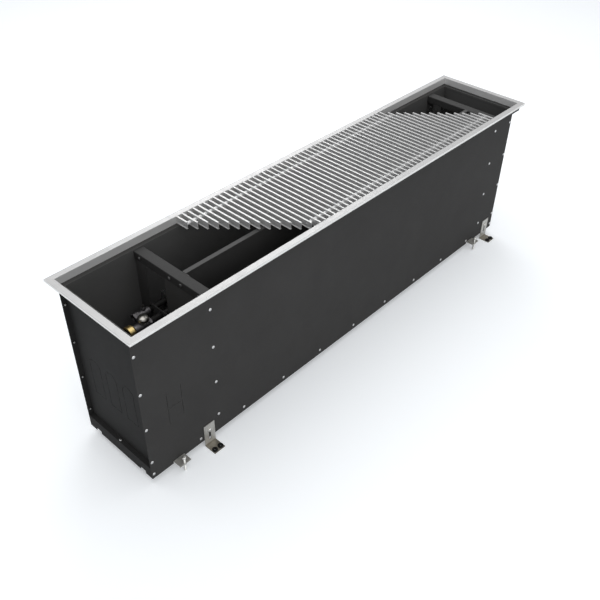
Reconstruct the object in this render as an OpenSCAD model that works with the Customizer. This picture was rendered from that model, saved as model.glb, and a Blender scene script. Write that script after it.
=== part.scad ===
// Floor trench convector with a lift-off grille, a finned water coil and levelling feet.
// X runs along the trench, Y across it (front is negative), Z is up from the slab.

/* [Casing] */
// Length of the sheet casing
casing_l = 1472; // [1400:4:1600]
// Width across the outer faces of the two long panels
casing_w = 246; // [238:1:252]
// Height from the slab to the top of the frame
total_h = 480; // [460:2:560]
// Height of the casing's lower edge above the slab
floor_gap = 22; // [20:1:27]
// Thickness of the folded sheet
sheet_t = 1.5; // [1.2:0.1:1.8]
// Width of the ledge that carries the frame and the grille
ledge_w = 19; // [18:0.5:20]
// Height of the up-turned edge outside the ledge
ledge_lip_h = 13; // [8:1:13]

/* [Bottom and ends] */
// Depth of the down-turned flanges of the bottom pan
pan_drop = 35; // [34:1:42]
// Distance from the casing's end to the wall of each end pan
end_recess = 13; // [11:0.5:17]
// Depth of the skirt at the end ledge's inner edge
end_skirt = 7; // [5:0.5:9]
// Reach of the end ledge beyond the casing
end_ledge_out = 4; // [3:0.5:5]
// Distance from the long panels to the notches in the pan's end flanges
pan_notch_in = 24; // [20:1:30]
// Width of a notch
pan_notch_w = 20; // [14:1:24]
// Height of a notch
pan_notch_h = 9; // [6:1:12]
// Width of an arched knock-out
arch_w = 40; // [34:1:44]
// Height of an arched knock-out
arch_h = 116; // [100:2:124]
// Spacing of the arched knock-outs
arch_pitch = 61; // [54:1:64]
// Height of the arches' feet above the pan
arch_up = 105; // [90:1:120]
// Width of a knock-out slit
slit_w = 1.2; // [1:0.1:1.6]
// Length of the bridges that hold a knock-out
slit_bridge = 5; // [4:0.5:8]

/* [Side knock-out] */
// Distance from the casing's left end to the first slit
knock_in = 70; // [60:1:80]
// Distance between the two upright slits
knock_w = 41; // [34:1:46]
// Height of the upright slits
knock_h = 101; // [90:1:110]
// Height of the slits' lower ends above the casing's lower edge
knock_up = 136; // [118:1:148]

/* [Frame] */
// Reach of the frame beyond the casing's ends
frame_end_out = 14; // [13:0.5:16]
// Reach of the frame beyond the long panels
frame_side_out = 27; // [26:0.5:30]
// Width of the frame's visible band
frame_band = 16; // [15:0.5:17]
// Height of the frame's inner wall
frame_wall_h = 20; // [18:0.5:22]
// Thickness of the band and of the inner wall
frame_t = 2; // [1.8:0.1:2.4]
// Thickness of the outer lip
frame_lip_t = 1.5; // [1.2:0.1:2]
// Height of the outer lip
frame_lip_h = 7; // [6:0.5:9]
// Length of a corner key's legs
key_leg = 40; // [30:1:50]
// Width of a corner key
key_w = 7.5; // [6:0.5:8]
// Thickness of a corner key
key_t = 2; // [1.5:0.1:2.4]

/* [Cross braces and screens] */
// Distance from the casing's left end to the middle of the left brace
valve_bay = 214; // [205:1:224]
// Distance from the casing's right end to the middle of the right brace
turn_bay = 96; // [90:1:104]
// Width of a brace
brace_w = 28; // [26:1:32]
// Depth of a brace's flanges
brace_h = 21; // [18:0.5:24]
// Drop from the ledge to the top of the braces
brace_drop = 3; // [2:0.5:5]
// Width of the partitions' side flanges
screen_flange = 24; // [20:1:26]
// Lower end of the left window above the coil's top row
window_up = 16; // [14:1:20]
// Left window's front edge
window_y0 = 17; // [14:1:22]
// Left window's back edge
window_y1 = 85; // [78:1:90]
// Distance from the braces' top to the windows' upper edges
window_drop = 26; // [24:1:30]
// Right window's front edge
right_window_y0 = 83; // [76:1:88]
// Right window's back edge
right_window_y1 = 113; // [106:1:115]
// Height of the right window
right_window_h = 37; // [30:1:60]
// Place of the divider's back face across the casing
divider_y = -18.5; // [-22:0.5:-16]
// Width of the divider's top flange
divider_flange = 12; // [10:0.5:14]
// Height of the divider's lower edge above the slab
divider_low = 170; // [150:1:180]
// Width of the divider's end flanges
divider_end = 22; // [18:1:26]

/* [Coil] */
// Spacing of the tubes both ways
tube_pitch = 36; // [34:0.5:37]
// Tube outside diameter
tube_d = 15; // [13:0.5:16]
// Tube wall
tube_wall = 1; // [0.8:0.1:1.2]
// Height of the top row of tubes above the slab
top_row_z = 305; // [295:1:325]
// Place of the front column of tubes across the casing
front_column_y = 12; // [10:1:14]
// Margin of a fin outside the outer tubes' axes
fin_margin = 18; // [14:0.5:18]
// Thickness of a fin
fin_t = 0.5; // [0.4:0.05:0.8]
// Number of fins
fin_n = 72; // [48:1:84]
// Clear distance between a brace and the coil's end plate
coil_gap = 18; // [16:1:22]
// Length of tube outside each end plate
tube_stub = 10; // [8:1:12]
// Length of the end plates' feet
sheet_foot = 16; // [12:1:18]
// Radial clearance round a pipe that passes through sheet
pipe_clear = 1.5; // [1:0.25:2.5]

/* [Valves] */
// Water passage
bore_d = 12; // [10:0.5:12.5]
// Depth of the socket that takes a tube
socket_l = 8; // [6:0.5:10]
// Distance from the left partition to the supply body's outlet end
supply_out = 32; // [28:1:38]
// Supply body's length
supply_l = 60; // [56:1:64]
// Supply body's barrel diameter
supply_d = 24; // [22:0.5:25]
// Supply body's spigot diameter
supply_spigot_d = 20; // [18:0.5:21]
// Length of the spigots that carry the union nuts
spigot_l = 12; // [10:0.5:13]
// Width across flats of the supply union nut
supply_nut_af = 29; // [27:0.5:30]
// Length of the supply union nut
supply_nut_l = 18; // [16:0.5:20]
// Distance from the outlet end to the valve's spindle
spindle_in = 19; // [16:0.5:20]
// Diameter of the neck under the cap
neck_d = 18; // [15:0.5:18]
// Height of the neck above the pipe's axis
neck_h = 14; // [13:0.5:16]
// Spindle diameter
spindle_d = 8; // [6:0.5:9]
// Spindle length inside the cap
spindle_l = 7; // [5:0.5:8]
// Cap diameter
cap_d = 25; // [23:0.5:26]
// Height of the cap's straight side
cap_side_h = 6; // [5:0.5:8]
// Height of the cap's dome
cap_dome_h = 8; // [6:0.5:10]
// Distance from the left partition to the return body's outlet end
return_out = 8; // [6:0.5:12]
// Return body's length
return_l = 42; // [38:0.5:46]
// Return body's barrel diameter
return_d = 20; // [19:0.5:21]
// Return body's spigot diameter
return_spigot_d = 16; // [15:0.5:16.5]
// Width across flats of the return union nut
return_nut_af = 22; // [21:0.5:24]
// Length of the return union nut
return_nut_l = 16; // [14:0.5:18]
// Diameter of the air vent's boss
vent_d = 10; // [9:0.5:12]
// Height of the vent's boss above the pipe's axis
vent_h = 17; // [15:0.5:20]
// Diameter of the vent screw
vent_screw_d = 4; // [3.5:0.1:5]
// Depth of the vent screw in its boss
vent_screw_in = 6; // [5:0.5:7]
// Width of the vent screw's square head
vent_head_w = 5; // [4.5:0.1:6]
// Height of the vent screw's square head
vent_head_h = 6; // [5:0.5:8]

/* [Feet] */
// Distance from the casing's left end to the left feet
foot_in_left = 81; // [70:1:90]
// Distance from the casing's right end to the right feet
foot_in_right = 130; // [120:1:140]
// Height of the foot tabs' upper faces above the slab
foot_z = 30; // [29:0.5:33]
// Width of a foot tab
tab_w = 34; // [30:1:38]
// Reach of a foot tab beyond the casing
tab_out = 26; // [26:0.5:30]
// Height of a foot tab's inner leg
tab_leg = 20; // [16:1:22]
// Thickness of the tabs and the brackets
plate_t = 2; // [1.6:0.1:2.4]
// Distance from the casing to a levelling screw's axis
screw_out = 20; // [18:0.5:20]
// Levelling screw's diameter
screw_d = 6; // [5:0.5:6]
// Levelling screw's head diameter
screw_head_d = 10.5; // [10:0.5:12]
// Levelling screw's head height
screw_head_h = 4.5; // [4:0.25:5.5]
// Levelling screw's whole length
screw_l = 48; // [46:1:60]
// Nut width across flats
nut_af = 10; // [9.5:0.5:11]
// Nut height
nut_h = 5; // [4:0.5:5.5]
// Driving slot's width
drive_w = 1.6; // [1.2:0.1:2]
// Driving slot's depth
drive_h = 2; // [1.5:0.1:2.2]

/* [Floor brackets] */
// Distance from the casing's left end to the left brackets
bracket_in_left = 179; // [160:1:190]
// Distance from the casing's right end to the right brackets
bracket_in_right = 44; // [36:1:60]
// Width of a bracket
bracket_w = 34; // [32:1:40]
// Height of a bracket's upright leg
bracket_h = 70; // [66:1:76]
// Reach of a bracket's foot beyond the casing
bracket_out = 37; // [36:0.5:42]
// Distance from the casing to the grommets
grommet_out = 28; // [26:0.5:28]
// Spacing of the two grommets
grommet_pitch = 18; // [16:0.5:19]
// Grommet diameter
grommet_d = 15; // [13:0.5:15.5]
// Grommet height above the foot
grommet_h = 4; // [3:0.5:5]
// Diameter of a grommet's neck
grommet_neck_d = 9; // [8:0.5:10]
// Diameter of the hole through a grommet
grommet_hole_d = 4.5; // [4:0.1:5]
// Height of the clamp screw above the slab
clamp_z = 49; // [48:0.5:49.5]
// Travel of a bracket along its slot
slot_travel = 31; // [26:1:31]
// Clamp screw's diameter
clamp_d = 6; // [5:0.5:6]
// Clamp screw's head diameter
clamp_head_d = 11; // [10:0.5:12]
// Clamp screw's head height
clamp_head_h = 3.5; // [3:0.25:4]

/* [Grille] */
// Spacing of the grille bars
bar_pitch = 17; // [15:0.5:19]
// Width of a bar's flanges
bar_w = 5; // [4.5:0.25:6]
// Thickness of a bar's web
bar_web = 1.8; // [1.6:0.1:2.4]
// Thickness of a bar's top flange
bar_top_t = 2.4; // [2:0.1:3]
// Thickness of a bar's bottom flange
bar_low_t = 1.6; // [1.4:0.1:2]
// Clear distance between the bars' ends and the frame
bar_end_gap = 0.75; // [0.5:0.05:1]
// Distance from the bars' ends to the rods
rod_in = 29.6; // [26:0.2:34]
// Rod diameter
rod_d = 4; // [3.5:0.1:4.5]
// Sleeve diameter
sleeve_d = 8; // [7:0.25:8]
// Distance from the casing's left end to the grille's left edge at mid width
cut_left = 433.4; // [424:0.2:446]
// Distance from the casing's right end to the grille's right edge at mid width
cut_right = 224; // [210:2:240]
// Slant of the grille's edges as a share of the way across
cut_share = 0.95; // [0.9:0.01:1]

/* [Rivets] */
// Rivet shank diameter
rivet_d = 4; // [3.2:0.1:4.8]
// Rivet head diameter
rivet_head_d = 8; // [7.5:0.1:9]
// Rivet head height
rivet_head_h = 1.2; // [1:0.1:1.6]
// Rivet tail diameter
rivet_tail_d = 5.4; // [5:0.1:6]
// Rivet tail length
rivet_tail_l = 3; // [2.5:0.1:3.5]
// Distance from the casing's ends to the first and last rivets
rivet_in = 6; // [5.5:0.1:6.5]
// Height of the lower rivet row above the casing's lower edge
rivet_low = 14.5; // [14:0.1:16]
// Height of the columns' lowest rivets above the casing's lower edge
rivet_col_low = 56; // [52:1:60]
// Distance from the ledge down to the columns' highest rivets
rivet_col_top = 46; // [42:1:52]

/* [Fits] */
// Clear distance between pieces that move on each other
run_gap = 0.3; // [0.3:0.05:0.4]
// Radial clearance of turning pins and spigots
pin_gap = 0.05; // [0.03:0.01:0.08]

/* [Hidden] */
$fn = 32;

half_l = casing_l / 2;
frame_l = casing_l + 2 * frame_end_out;
frame_w = casing_w + 2 * frame_side_out;
half_w = casing_w / 2;
half_in = half_w - sheet_t;
ledge_z = total_h - frame_wall_h;
under_ledge_z = ledge_z - sheet_t;
pan_z = floor_gap + pan_drop;
pan_low_z = pan_z - sheet_t;
end_wall_x = half_l - end_recess;
brace_z = ledge_z - brace_drop;
brace_low_z = brace_z - brace_h;
brace_left_x = -half_l + valve_bay;
brace_right_x = half_l - turn_bay;
screen_left_x = brace_left_x - brace_w / 2 + sheet_t;
screen_right_x = brace_right_x + brace_w / 2 - sheet_t;
screen_z = brace_z - sheet_t;
rivet_left_x = brace_left_x;
rivet_right_x = brace_right_x + rivet_in;
rivet_col_x = [-half_l + rivet_in, rivet_left_x, rivet_right_x, half_l - rivet_in];
rivet_low_n = 11;
rivet_low_pitch = (casing_l - 2 * rivet_in) / (rivet_low_n - 1);
rivet_col_n = 4;
rivet_col_pitch = (ledge_z - rivet_col_top - floor_gap - rivet_col_low) / (rivet_col_n - 1);
tube_columns = 3;
tube_rows = 4;
column_y = [for (i = [0:tube_columns - 1]) front_column_y + i * tube_pitch];
row_z = [for (i = [0:tube_rows - 1]) top_row_z - i * tube_pitch];
coil_y0 = column_y[0] - fin_margin;
coil_y1 = column_y[tube_columns - 1] + fin_margin;
coil_z0 = row_z[tube_rows - 1] - fin_margin;
coil_z1 = row_z[0] + fin_margin;
coil_x0 = brace_left_x + brace_w / 2 + coil_gap;
coil_x1 = brace_right_x - brace_w / 2 - coil_gap;
tube_x0 = coil_x0 - tube_stub;
tube_x1 = coil_x1 + tube_stub;
fin_pitch = (coil_x1 - coil_x0 - 2 * sheet_t) / (fin_n + 1);
fin_x0 = coil_x0 + sheet_t + fin_pitch - fin_t / 2;
supply_y = column_y[1];
return_y = column_y[2];
supply_x1 = screen_left_x - supply_out;
supply_x0 = supply_x1 - supply_l;
supply_tube_x0 = supply_x1 - socket_l;
spindle_x = supply_x1 - spindle_in;
neck_z = top_row_z + neck_h;
return_x1 = screen_left_x - return_out;
return_x0 = return_x1 - return_l;
return_tube_x0 = return_x1 - socket_l;
vent_x = return_x1 - return_l / 2 + spigot_l / 2;
foot_x = [-half_l + foot_in_left, half_l - foot_in_right];
bracket_x = [-half_l + bracket_in_left, half_l - bracket_in_right];
frame_in_y = frame_w / 2 - frame_band;
frame_in_x = frame_l / 2 - frame_band;
bar_l = 2 * (frame_in_y - bar_end_gap);
bar_low_z = ledge_z + run_gap;
bar_mid_z = (bar_low_z + total_h) / 2;
rod_y = bar_l / 2 - rod_in;
cut_left_x = -half_l + cut_left;
cut_right_x = half_l - cut_right;
stub_l = sleeve_d;
bar_x0 = cut_left_x - cut_share * (rod_y - stub_l);
bar_x1 = cut_right_x + cut_share * (rod_y - stub_l);
bar_n = floor((bar_x1 - bar_x0) / bar_pitch) + 1;
brace_rivet_shares = [-0.84, -0.36, -0.04, 0.84];
cap_dome_shares = [[1, 0], [0.94, 0.34], [0.77, 0.64], [0.5, 0.87], [0.2, 0.98]];
eps = sheet_t / 2;

function bar_x(i) = bar_x0 + i * bar_pitch;
function bar_y0(x) = max(-bar_l / 2, (cut_left_x - x) / cut_share);
function bar_y1(x) = min(bar_l / 2, (cut_right_x - x) / cut_share);
function on_back_rod(x) = bar_y1(x) > rod_y;
function on_front_rod(x) = bar_y0(x) < -rod_y;

// Upright box between two corners
module box(p0, p1) {
  translate(p0)
    cube(p1 - p0);
}

// Profile in the YZ plane drawn along X
module along_x(x0, x1) {
  translate([x0, 0, 0])
    rotate([90, 0, 90])
      linear_extrude(x1 - x0)
        children();
}

// Profile in the XZ plane drawn along Y
module along_y(y0, y1) {
  translate([0, y1, 0])
    rotate([90, 0, 0])
      linear_extrude(y1 - y0)
        children();
}

// Round bar or cutter along X
module round_x(x0, x1, y, z, d) {
  translate([x0, y, z])
    rotate([0, 90, 0])
      cylinder(h = x1 - x0, d = d);
}

// Hexagonal bar along X
module hex_x(x0, x1, y, z, af) {
  translate([x0, y, z])
    rotate([0, 90, 0])
      cylinder(h = x1 - x0, d = af / cos(30), $fn = 6);
}

// Blind rivet along Z with the head's seat at zero and the shank going down
module rivet(grip) {
  head_r = rivet_head_d / 2;
  shank_r = rivet_d / 2;
  tail_r = rivet_tail_d / 2;
  rotate_extrude()
    polygon([[0, -grip - rivet_tail_l], [tail_r / 2, -grip - rivet_tail_l], [tail_r, -grip - rivet_tail_l / 2],
             [tail_r, -grip], [shank_r, -grip], [shank_r, 0], [head_r, 0], [head_r, rivet_head_h / 3],
             [head_r / 2, rivet_head_h], [0, rivet_head_h]]);
}

// Rivet through a long panel, head outside the front face
module side_rivet(x, z) {
  translate([x, -half_w, z])
    rotate([90, 0, 0])
      rivet(2 * sheet_t);
}

// Arched outline with its foot's middle at the origin
module arch(w, h) {
  translate([-w / 2, 0])
    square([w, h - w / 2]);
  translate([0, h - w / 2])
    circle(d = w);
}

// Slits of an arched knock-out, broken by bridges
module arch_slits() {
  difference() {
    arch(arch_w, arch_h);
    translate([0, slit_w])
      arch(arch_w - 2 * slit_w, arch_h - 2 * slit_w);
    translate([-arch_w / 2 - slit_w, arch_h / 2])
      square([arch_w + 2 * slit_w, slit_bridge]);
    translate([-slit_bridge / 2, -slit_w])
      square([slit_bridge, arch_h + 2 * slit_w]);
  }
}

// Slits of the side knock-out with their lower left corner at the origin
module side_slits() {
  half_slit = (knock_h - slit_bridge) / 2;
  for (x = [0, knock_w])
    for (z = [0, half_slit + slit_bridge])
      translate([x - slit_w / 2, z])
        square([slit_w, half_slit]);
  translate([slit_bridge, knock_h / 2 - slit_w / 2])
    square([knock_w - 2 * slit_bridge, slit_w]);
}

// Long panel on the front side: wall, ledge and up-turned edge
module long_panel() {
  difference() {
    along_x(-half_l, half_l)
      polygon([[-half_in, floor_gap], [-half_in, ledge_z], [-half_w - ledge_w + sheet_t, ledge_z],
               [-half_w - ledge_w + sheet_t, ledge_z + ledge_lip_h], [-half_w - ledge_w, ledge_z + ledge_lip_h],
               [-half_w - ledge_w, under_ledge_z], [-half_w, under_ledge_z], [-half_w, floor_gap]]);
    panel_holes(rivet_d, clamp_d);
    tab_notches();
  }
}

// Cutters for the feet's plates in the front panel and in the pan's front flange
module tab_notches() {
  notch_w = tab_w + 2 * run_gap;
  for (x = foot_x)
    box([x - notch_w / 2, -half_w - eps, floor_gap - eps],
        [x + notch_w / 2, -half_in + sheet_t + eps, foot_z + run_gap]);
}

// Cutters for the rivets and clamp screws of the front side
module panel_holes(rivet_hole_d, clamp_hole_d) {
  for (k = [0:rivet_low_n - 1])
    translate([-half_l + rivet_in + k * rivet_low_pitch, -half_w - eps, floor_gap + rivet_low])
      rotate([-90, 0, 0])
        cylinder(h = 4 * sheet_t, d = rivet_hole_d);
  for (x = rivet_col_x)
    for (k = [0:rivet_col_n - 1])
      translate([x, -half_w - eps, floor_gap + rivet_col_low + k * rivet_col_pitch])
        rotate([-90, 0, 0])
          cylinder(h = 4 * sheet_t, d = rivet_hole_d);
  for (x = bracket_x)
    translate([x, -half_w - eps, clamp_z])
      rotate([-90, 0, 0])
        cylinder(h = 4 * sheet_t, d = clamp_hole_d);
}

module side_panel_front() {
  color("dimgray")
    difference() {
      long_panel();
      translate([-half_l + knock_in, 0, floor_gap + knock_up])
        along_y(-half_w - eps, -half_in + eps)
          side_slits();
    }
}

module side_panel_back() {
  color("dimgray")
    mirror([0, 1, 0])
      long_panel();
}

// End pan on the left: recessed wall with outward flanges on all four sides
module end_pan() {
  top_z = under_ledge_z - sheet_t;
  difference() {
    union() {
      box([-end_wall_x, -half_in, pan_z], [-end_wall_x + sheet_t, half_in, under_ledge_z]);
      box([-half_l, -half_in, top_z], [-end_wall_x, half_in, under_ledge_z]);
      box([-half_l, -half_in + sheet_t, pan_z], [-end_wall_x, half_in - sheet_t, pan_z + sheet_t]);
      box([-half_l, -half_in, pan_z], [-end_wall_x, -half_in + sheet_t, top_z]);
      box([-half_l, half_in - sheet_t, pan_z], [-end_wall_x, half_in, top_z]);
    }
    for (k = [-1:1])
      translate([-end_wall_x - eps, k * arch_pitch, pan_z + arch_up])
        rotate([90, 0, 90])
          linear_extrude(sheet_t + 2 * eps)
            arch_slits();
    panel_holes(rivet_d, clamp_d);
    mirror([0, 1, 0])
      panel_holes(rivet_d, clamp_d);
    translate([-half_l + rivet_in, 0, pan_low_z - eps])
      cylinder(h = 3 * sheet_t, d = rivet_d);
  }
}

module end_pan_left() {
  color("dimgray")
    end_pan();
}

module end_pan_right() {
  color("dimgray")
    mirror([1, 0, 0])
      end_pan();
}

module bottom_pan() {
  color("dimgray")
    difference() {
      box([-half_l, -half_in, floor_gap], [half_l, half_in, pan_z]);
      box([-half_l + sheet_t, -half_in + sheet_t, floor_gap - eps],
          [half_l - sheet_t, half_in - sheet_t, pan_low_z]);
      for (sx = [-1, 1])
        for (sy = [-1, 1])
          translate([sx * half_l, sy * (half_in - pan_notch_in - pan_notch_w / 2), floor_gap])
            cube([4 * sheet_t, pan_notch_w, 2 * pan_notch_h], center = true);
      for (sy = [0, 1])
        mirror([0, sy, 0]) {
          panel_holes(rivet_d, clamp_d);
          tab_notches();
        }
      for (sx = [-1, 1])
        translate([sx * (half_l - rivet_in), 0, pan_low_z - eps])
          cylinder(h = 3 * sheet_t, d = rivet_d);
    }
}

// Ledge across the left end with its up-turned edge and the skirt inside the wall
module end_ledge() {
  out_x = -half_l - end_ledge_out;
  in_x = -end_wall_x + sheet_t;
  along_y(-half_in, half_in)
    polygon([[out_x, under_ledge_z], [in_x, under_ledge_z], [in_x, ledge_z - end_skirt],
             [in_x + sheet_t, ledge_z - end_skirt], [in_x + sheet_t, ledge_z], [out_x + sheet_t, ledge_z],
             [out_x + sheet_t, ledge_z + ledge_lip_h], [out_x, ledge_z + ledge_lip_h]]);
}

module end_ledge_left() {
  color("dimgray")
    end_ledge();
}

module end_ledge_right() {
  color("dimgray")
    mirror([1, 0, 0])
      end_ledge();
}

// Frame section with the outer edge at zero and the band running to positive values
module frame_section() {
  polygon([[0, total_h - frame_lip_h], [frame_lip_t, total_h - frame_lip_h], [frame_lip_t, total_h - frame_t],
           [frame_band - frame_t, total_h - frame_t], [frame_band - frame_t, ledge_z], [frame_band, ledge_z],
           [frame_band, total_h], [0, total_h]]);
}

// Rail along X on the front side, mitred at both ends
module long_rail() {
  intersection() {
    translate([0, -frame_w / 2, 0])
      along_x(-frame_l / 2, frame_l / 2)
        frame_section();
    translate([0, 0, ledge_z - eps])
      linear_extrude(frame_wall_h + 2 * eps)
        polygon([[-frame_l / 2, -frame_w / 2], [frame_l / 2, -frame_w / 2],
                 [frame_l / 2 - frame_w / 2, 0], [-frame_l / 2 + frame_w / 2, 0]]);
  }
}

// Rail along Y on the left side, mitred at both ends
module short_rail() {
  intersection() {
    translate([-frame_l / 2, 0, 0])
      along_y(-frame_w / 2, frame_w / 2)
        frame_section();
    translate([0, 0, ledge_z - eps])
      linear_extrude(frame_wall_h + 2 * eps)
        polygon([[-frame_l / 2, -frame_w / 2], [-frame_l / 2 + frame_w / 2, 0], [-frame_l / 2, frame_w / 2]]);
  }
}

module frame_rail_front() {
  color("silver")
    long_rail();
}

module frame_rail_back() {
  color("silver")
    mirror([0, 1, 0])
      long_rail();
}

module frame_rail_left() {
  color("silver")
    short_rail();
}

module frame_rail_right() {
  color("silver")
    mirror([1, 0, 0])
      short_rail();
}

// Angle key inside the frame's left front corner
module corner_key() {
  x0 = -frame_l / 2 + frame_lip_t;
  y0 = -frame_w / 2 + frame_lip_t;
  translate([0, 0, total_h - frame_t - key_t])
    linear_extrude(key_t)
      polygon([[x0, y0], [x0 + key_leg, y0], [x0 + key_leg, y0 + key_w], [x0 + key_w, y0 + key_w],
               [x0 + key_w, y0 + key_leg], [x0, y0 + key_leg]]);
}

module frame_corner_keys() {
  color("gray")
    for (sx = [0, 1])
      for (sy = [0, 1])
        mirror([sx, 0, 0])
          mirror([0, sy, 0])
            corner_key();
}

// Inverted channel across the casing; the outer flange is on the side of dir
module brace(x, dir) {
  difference() {
    along_y(-half_in, half_in)
      translate([x, 0])
        polygon([[-brace_w / 2, brace_low_z], [-brace_w / 2 + sheet_t, brace_low_z],
                 [-brace_w / 2 + sheet_t, brace_z - sheet_t], [brace_w / 2 - sheet_t, brace_z - sheet_t],
                 [brace_w / 2 - sheet_t, brace_low_z], [brace_w / 2, brace_low_z], [brace_w / 2, brace_z],
                 [-brace_w / 2, brace_z]]);
    brace_holes(x, dir, rivet_d);
  }
}

// Height of the brace rivets
function brace_rivet_z() = (brace_low_z + brace_z - sheet_t) / 2;

// Cutters for a brace's rivets
module brace_holes(x, dir, hole_d) {
  for (y = brace_rivet_shares * half_in)
    translate([x + dir * (brace_w / 2 - 3 * sheet_t), y, brace_rivet_z()])
      rotate([0, dir * 90, 0])
        cylinder(h = 4 * sheet_t, d = hole_d);
  translate([x - dir * (brace_w / 2 - 3 * sheet_t), divider_rivet_y(), brace_rivet_z()])
    rotate([0, -dir * 90, 0])
      cylinder(h = 6 * sheet_t, d = hole_d);
}

// Place of the rivet that holds the divider's end flange
function divider_rivet_y() = divider_y - sheet_t - divider_end / 2;

module brace_left() {
  color("gray")
    brace(brace_left_x, -1);
}

module brace_right() {
  color("gray")
    brace(brace_right_x, 1);
}

// Cross partition with side flanges that run from the plate towards the middle
module partition(x, dir) {
  flange_x0 = min(x, x - dir * screen_flange);
  flange_x1 = max(x, x - dir * screen_flange);
  difference() {
    union() {
      box([min(x, x - dir * sheet_t), -half_in, pan_z], [max(x, x - dir * sheet_t), half_in, screen_z]);
      box([flange_x0, -half_in, pan_z], [flange_x1, -half_in + sheet_t, brace_low_z - eps]);
      box([flange_x0, half_in - sheet_t, pan_z], [flange_x1, half_in, brace_low_z - eps]);
    }
    panel_holes(rivet_d, clamp_d);
    mirror([0, 1, 0])
      panel_holes(rivet_d, clamp_d);
  }
}

module partition_left() {
  color("gray")
    difference() {
      partition(screen_left_x, -1);
      brace_holes(brace_left_x, -1, rivet_d);
      box([screen_left_x - eps, window_y0, top_row_z + window_up],
          [screen_left_x + sheet_t + eps, window_y1, brace_z - window_drop]);
      for (y = [supply_y, return_y])
        round_x(screen_left_x - eps, screen_left_x + sheet_t + eps, y, top_row_z, tube_d + 2 * pipe_clear);
    }
}

module partition_right() {
  color("gray")
    difference() {
      partition(screen_right_x, 1);
      brace_holes(brace_right_x, 1, rivet_d);
      box([screen_right_x - sheet_t - eps, right_window_y0, brace_z - window_drop - right_window_h],
          [screen_right_x + eps, right_window_y1, brace_z - window_drop]);
    }
}

module divider_screen() {
  x0 = brace_left_x + brace_w / 2;
  x1 = brace_right_x - brace_w / 2;
  y0 = divider_y - sheet_t;
  color("gray")
    difference() {
      union() {
        box([x0, y0, divider_low], [x1, divider_y, brace_z]);
        box([x0, divider_y - divider_flange, brace_z - sheet_t], [x1, divider_y, brace_z]);
        box([x0, y0 - divider_end, divider_low], [x0 + sheet_t, divider_y, brace_z - sheet_t]);
        box([x1 - sheet_t, y0 - divider_end, divider_low], [x1, divider_y, brace_z - sheet_t]);
      }
      brace_holes(brace_left_x, -1, rivet_d);
      brace_holes(brace_right_x, 1, rivet_d);
    }
}

module casing_rivets() {
  color("white") {
    for (sy = [0, 1])
      mirror([0, sy, 0]) {
        for (k = [0:rivet_low_n - 1])
          side_rivet(-half_l + rivet_in + k * rivet_low_pitch, floor_gap + rivet_low);
        for (x = rivet_col_x)
          for (k = [0:rivet_col_n - 1])
            side_rivet(x, floor_gap + rivet_col_low + k * rivet_col_pitch);
      }
    for (sx = [-1, 1])
      translate([sx * (half_l - rivet_in), 0, pan_z + sheet_t])
        rivet(2 * sheet_t);
  }
}

module brace_rivets() {
  color("white")
    for (side = [[brace_left_x, -1], [brace_right_x, 1]]) {
      for (y = brace_rivet_shares * half_in)
        translate([side[0] + side[1] * brace_w / 2, y, brace_rivet_z()])
          rotate([0, side[1] * 90, 0])
            rivet(2 * sheet_t);
      translate([side[0] - side[1] * (brace_w / 2 + sheet_t), divider_rivet_y(), brace_rivet_z()])
        rotate([0, -side[1] * 90, 0])
          rivet(2 * sheet_t);
    }
}

// Plate of the coil in the YZ plane with a hole for every tube
module coil_sheet(z0, z1) {
  difference() {
    translate([coil_y0, z0])
      square([coil_y1 - coil_y0, z1 - z0]);
    for (y = column_y)
      for (z = row_z)
        translate([y, z])
          circle(d = tube_d);
  }
}

module fins() {
  color("lightgray")
    for (i = [0:fin_n - 1])
      along_x(fin_x0 + i * fin_pitch, fin_x0 + i * fin_pitch + fin_t)
        coil_sheet(coil_z0, coil_z1);
}

// Straight tube of the coil
module tube(x0, x1, y, z) {
  difference() {
    round_x(x0, x1, y, z, tube_d);
    round_x(x0 - eps, x1 + eps, y, z, tube_d - 2 * tube_wall);
  }
}

module tubes() {
  color("peru")
    for (c = [0:tube_columns - 1])
      for (r = [0:tube_rows - 1])
        tube(r > 0 || c == 0 ? tube_x0 : c == 1 ? supply_tube_x0 : return_tube_x0, tube_x1, column_y[c], row_z[r]);
}

// Half-ring between two tube ends; dir is the side it bulges to, tilt turns it upright
module bend(x, y, z, dir, tilt) {
  translate([x, y, z])
    rotate([tilt, 0, 0])
      mirror([dir < 0 ? 1 : 0, 0, 0])
        rotate([0, 0, -90])
          rotate_extrude(angle = 180)
            translate([tube_pitch / 2, 0])
              difference() {
                circle(d = tube_d);
                circle(d = tube_d - 2 * tube_wall);
              }
}

// Rows of bends: column, row and whether the bend stands upright
right_bends = [[0, 0, 0], [0, 1, 0], [0, 2, 0], [0, 3, 0], [2, 2, 1], [2, 0, 1]];
left_bends = [[0, 0, 1], [1, 1, 1], [0, 2, 1], [1, 3, 0], [2, 1, 1]];

module return_bends() {
  color("peru") {
    for (b = right_bends)
      bend_at(tube_x1, b, 1);
    for (b = left_bends)
      bend_at(tube_x0, b, -1);
  }
}

// Bend from a tube to the next one behind it, or below it if upright
module bend_at(x, b, dir) {
  y = column_y[b[0]] + (b[2] == 0 ? tube_pitch / 2 : 0);
  z = row_z[b[1]] - (b[2] == 1 ? tube_pitch / 2 : 0);
  bend(x, y, z, dir, b[2] * 90);
}

// End plate of the coil with a foot on the bottom pan
module coil_plate(x, dir) {
  x1 = x + dir * sheet_t;
  foot_x1 = x - dir * sheet_foot;
  along_x(min(x, x1), max(x, x1))
    coil_sheet(pan_z, coil_z1);
  box([min(x, foot_x1), coil_y0, pan_z], [max(x, foot_x1), coil_y1, pan_z + sheet_t]);
}

module coil_plate_left() {
  color("gray")
    coil_plate(coil_x0, 1);
}

module coil_plate_right() {
  color("gray")
    coil_plate(coil_x1, -1);
}

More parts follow.
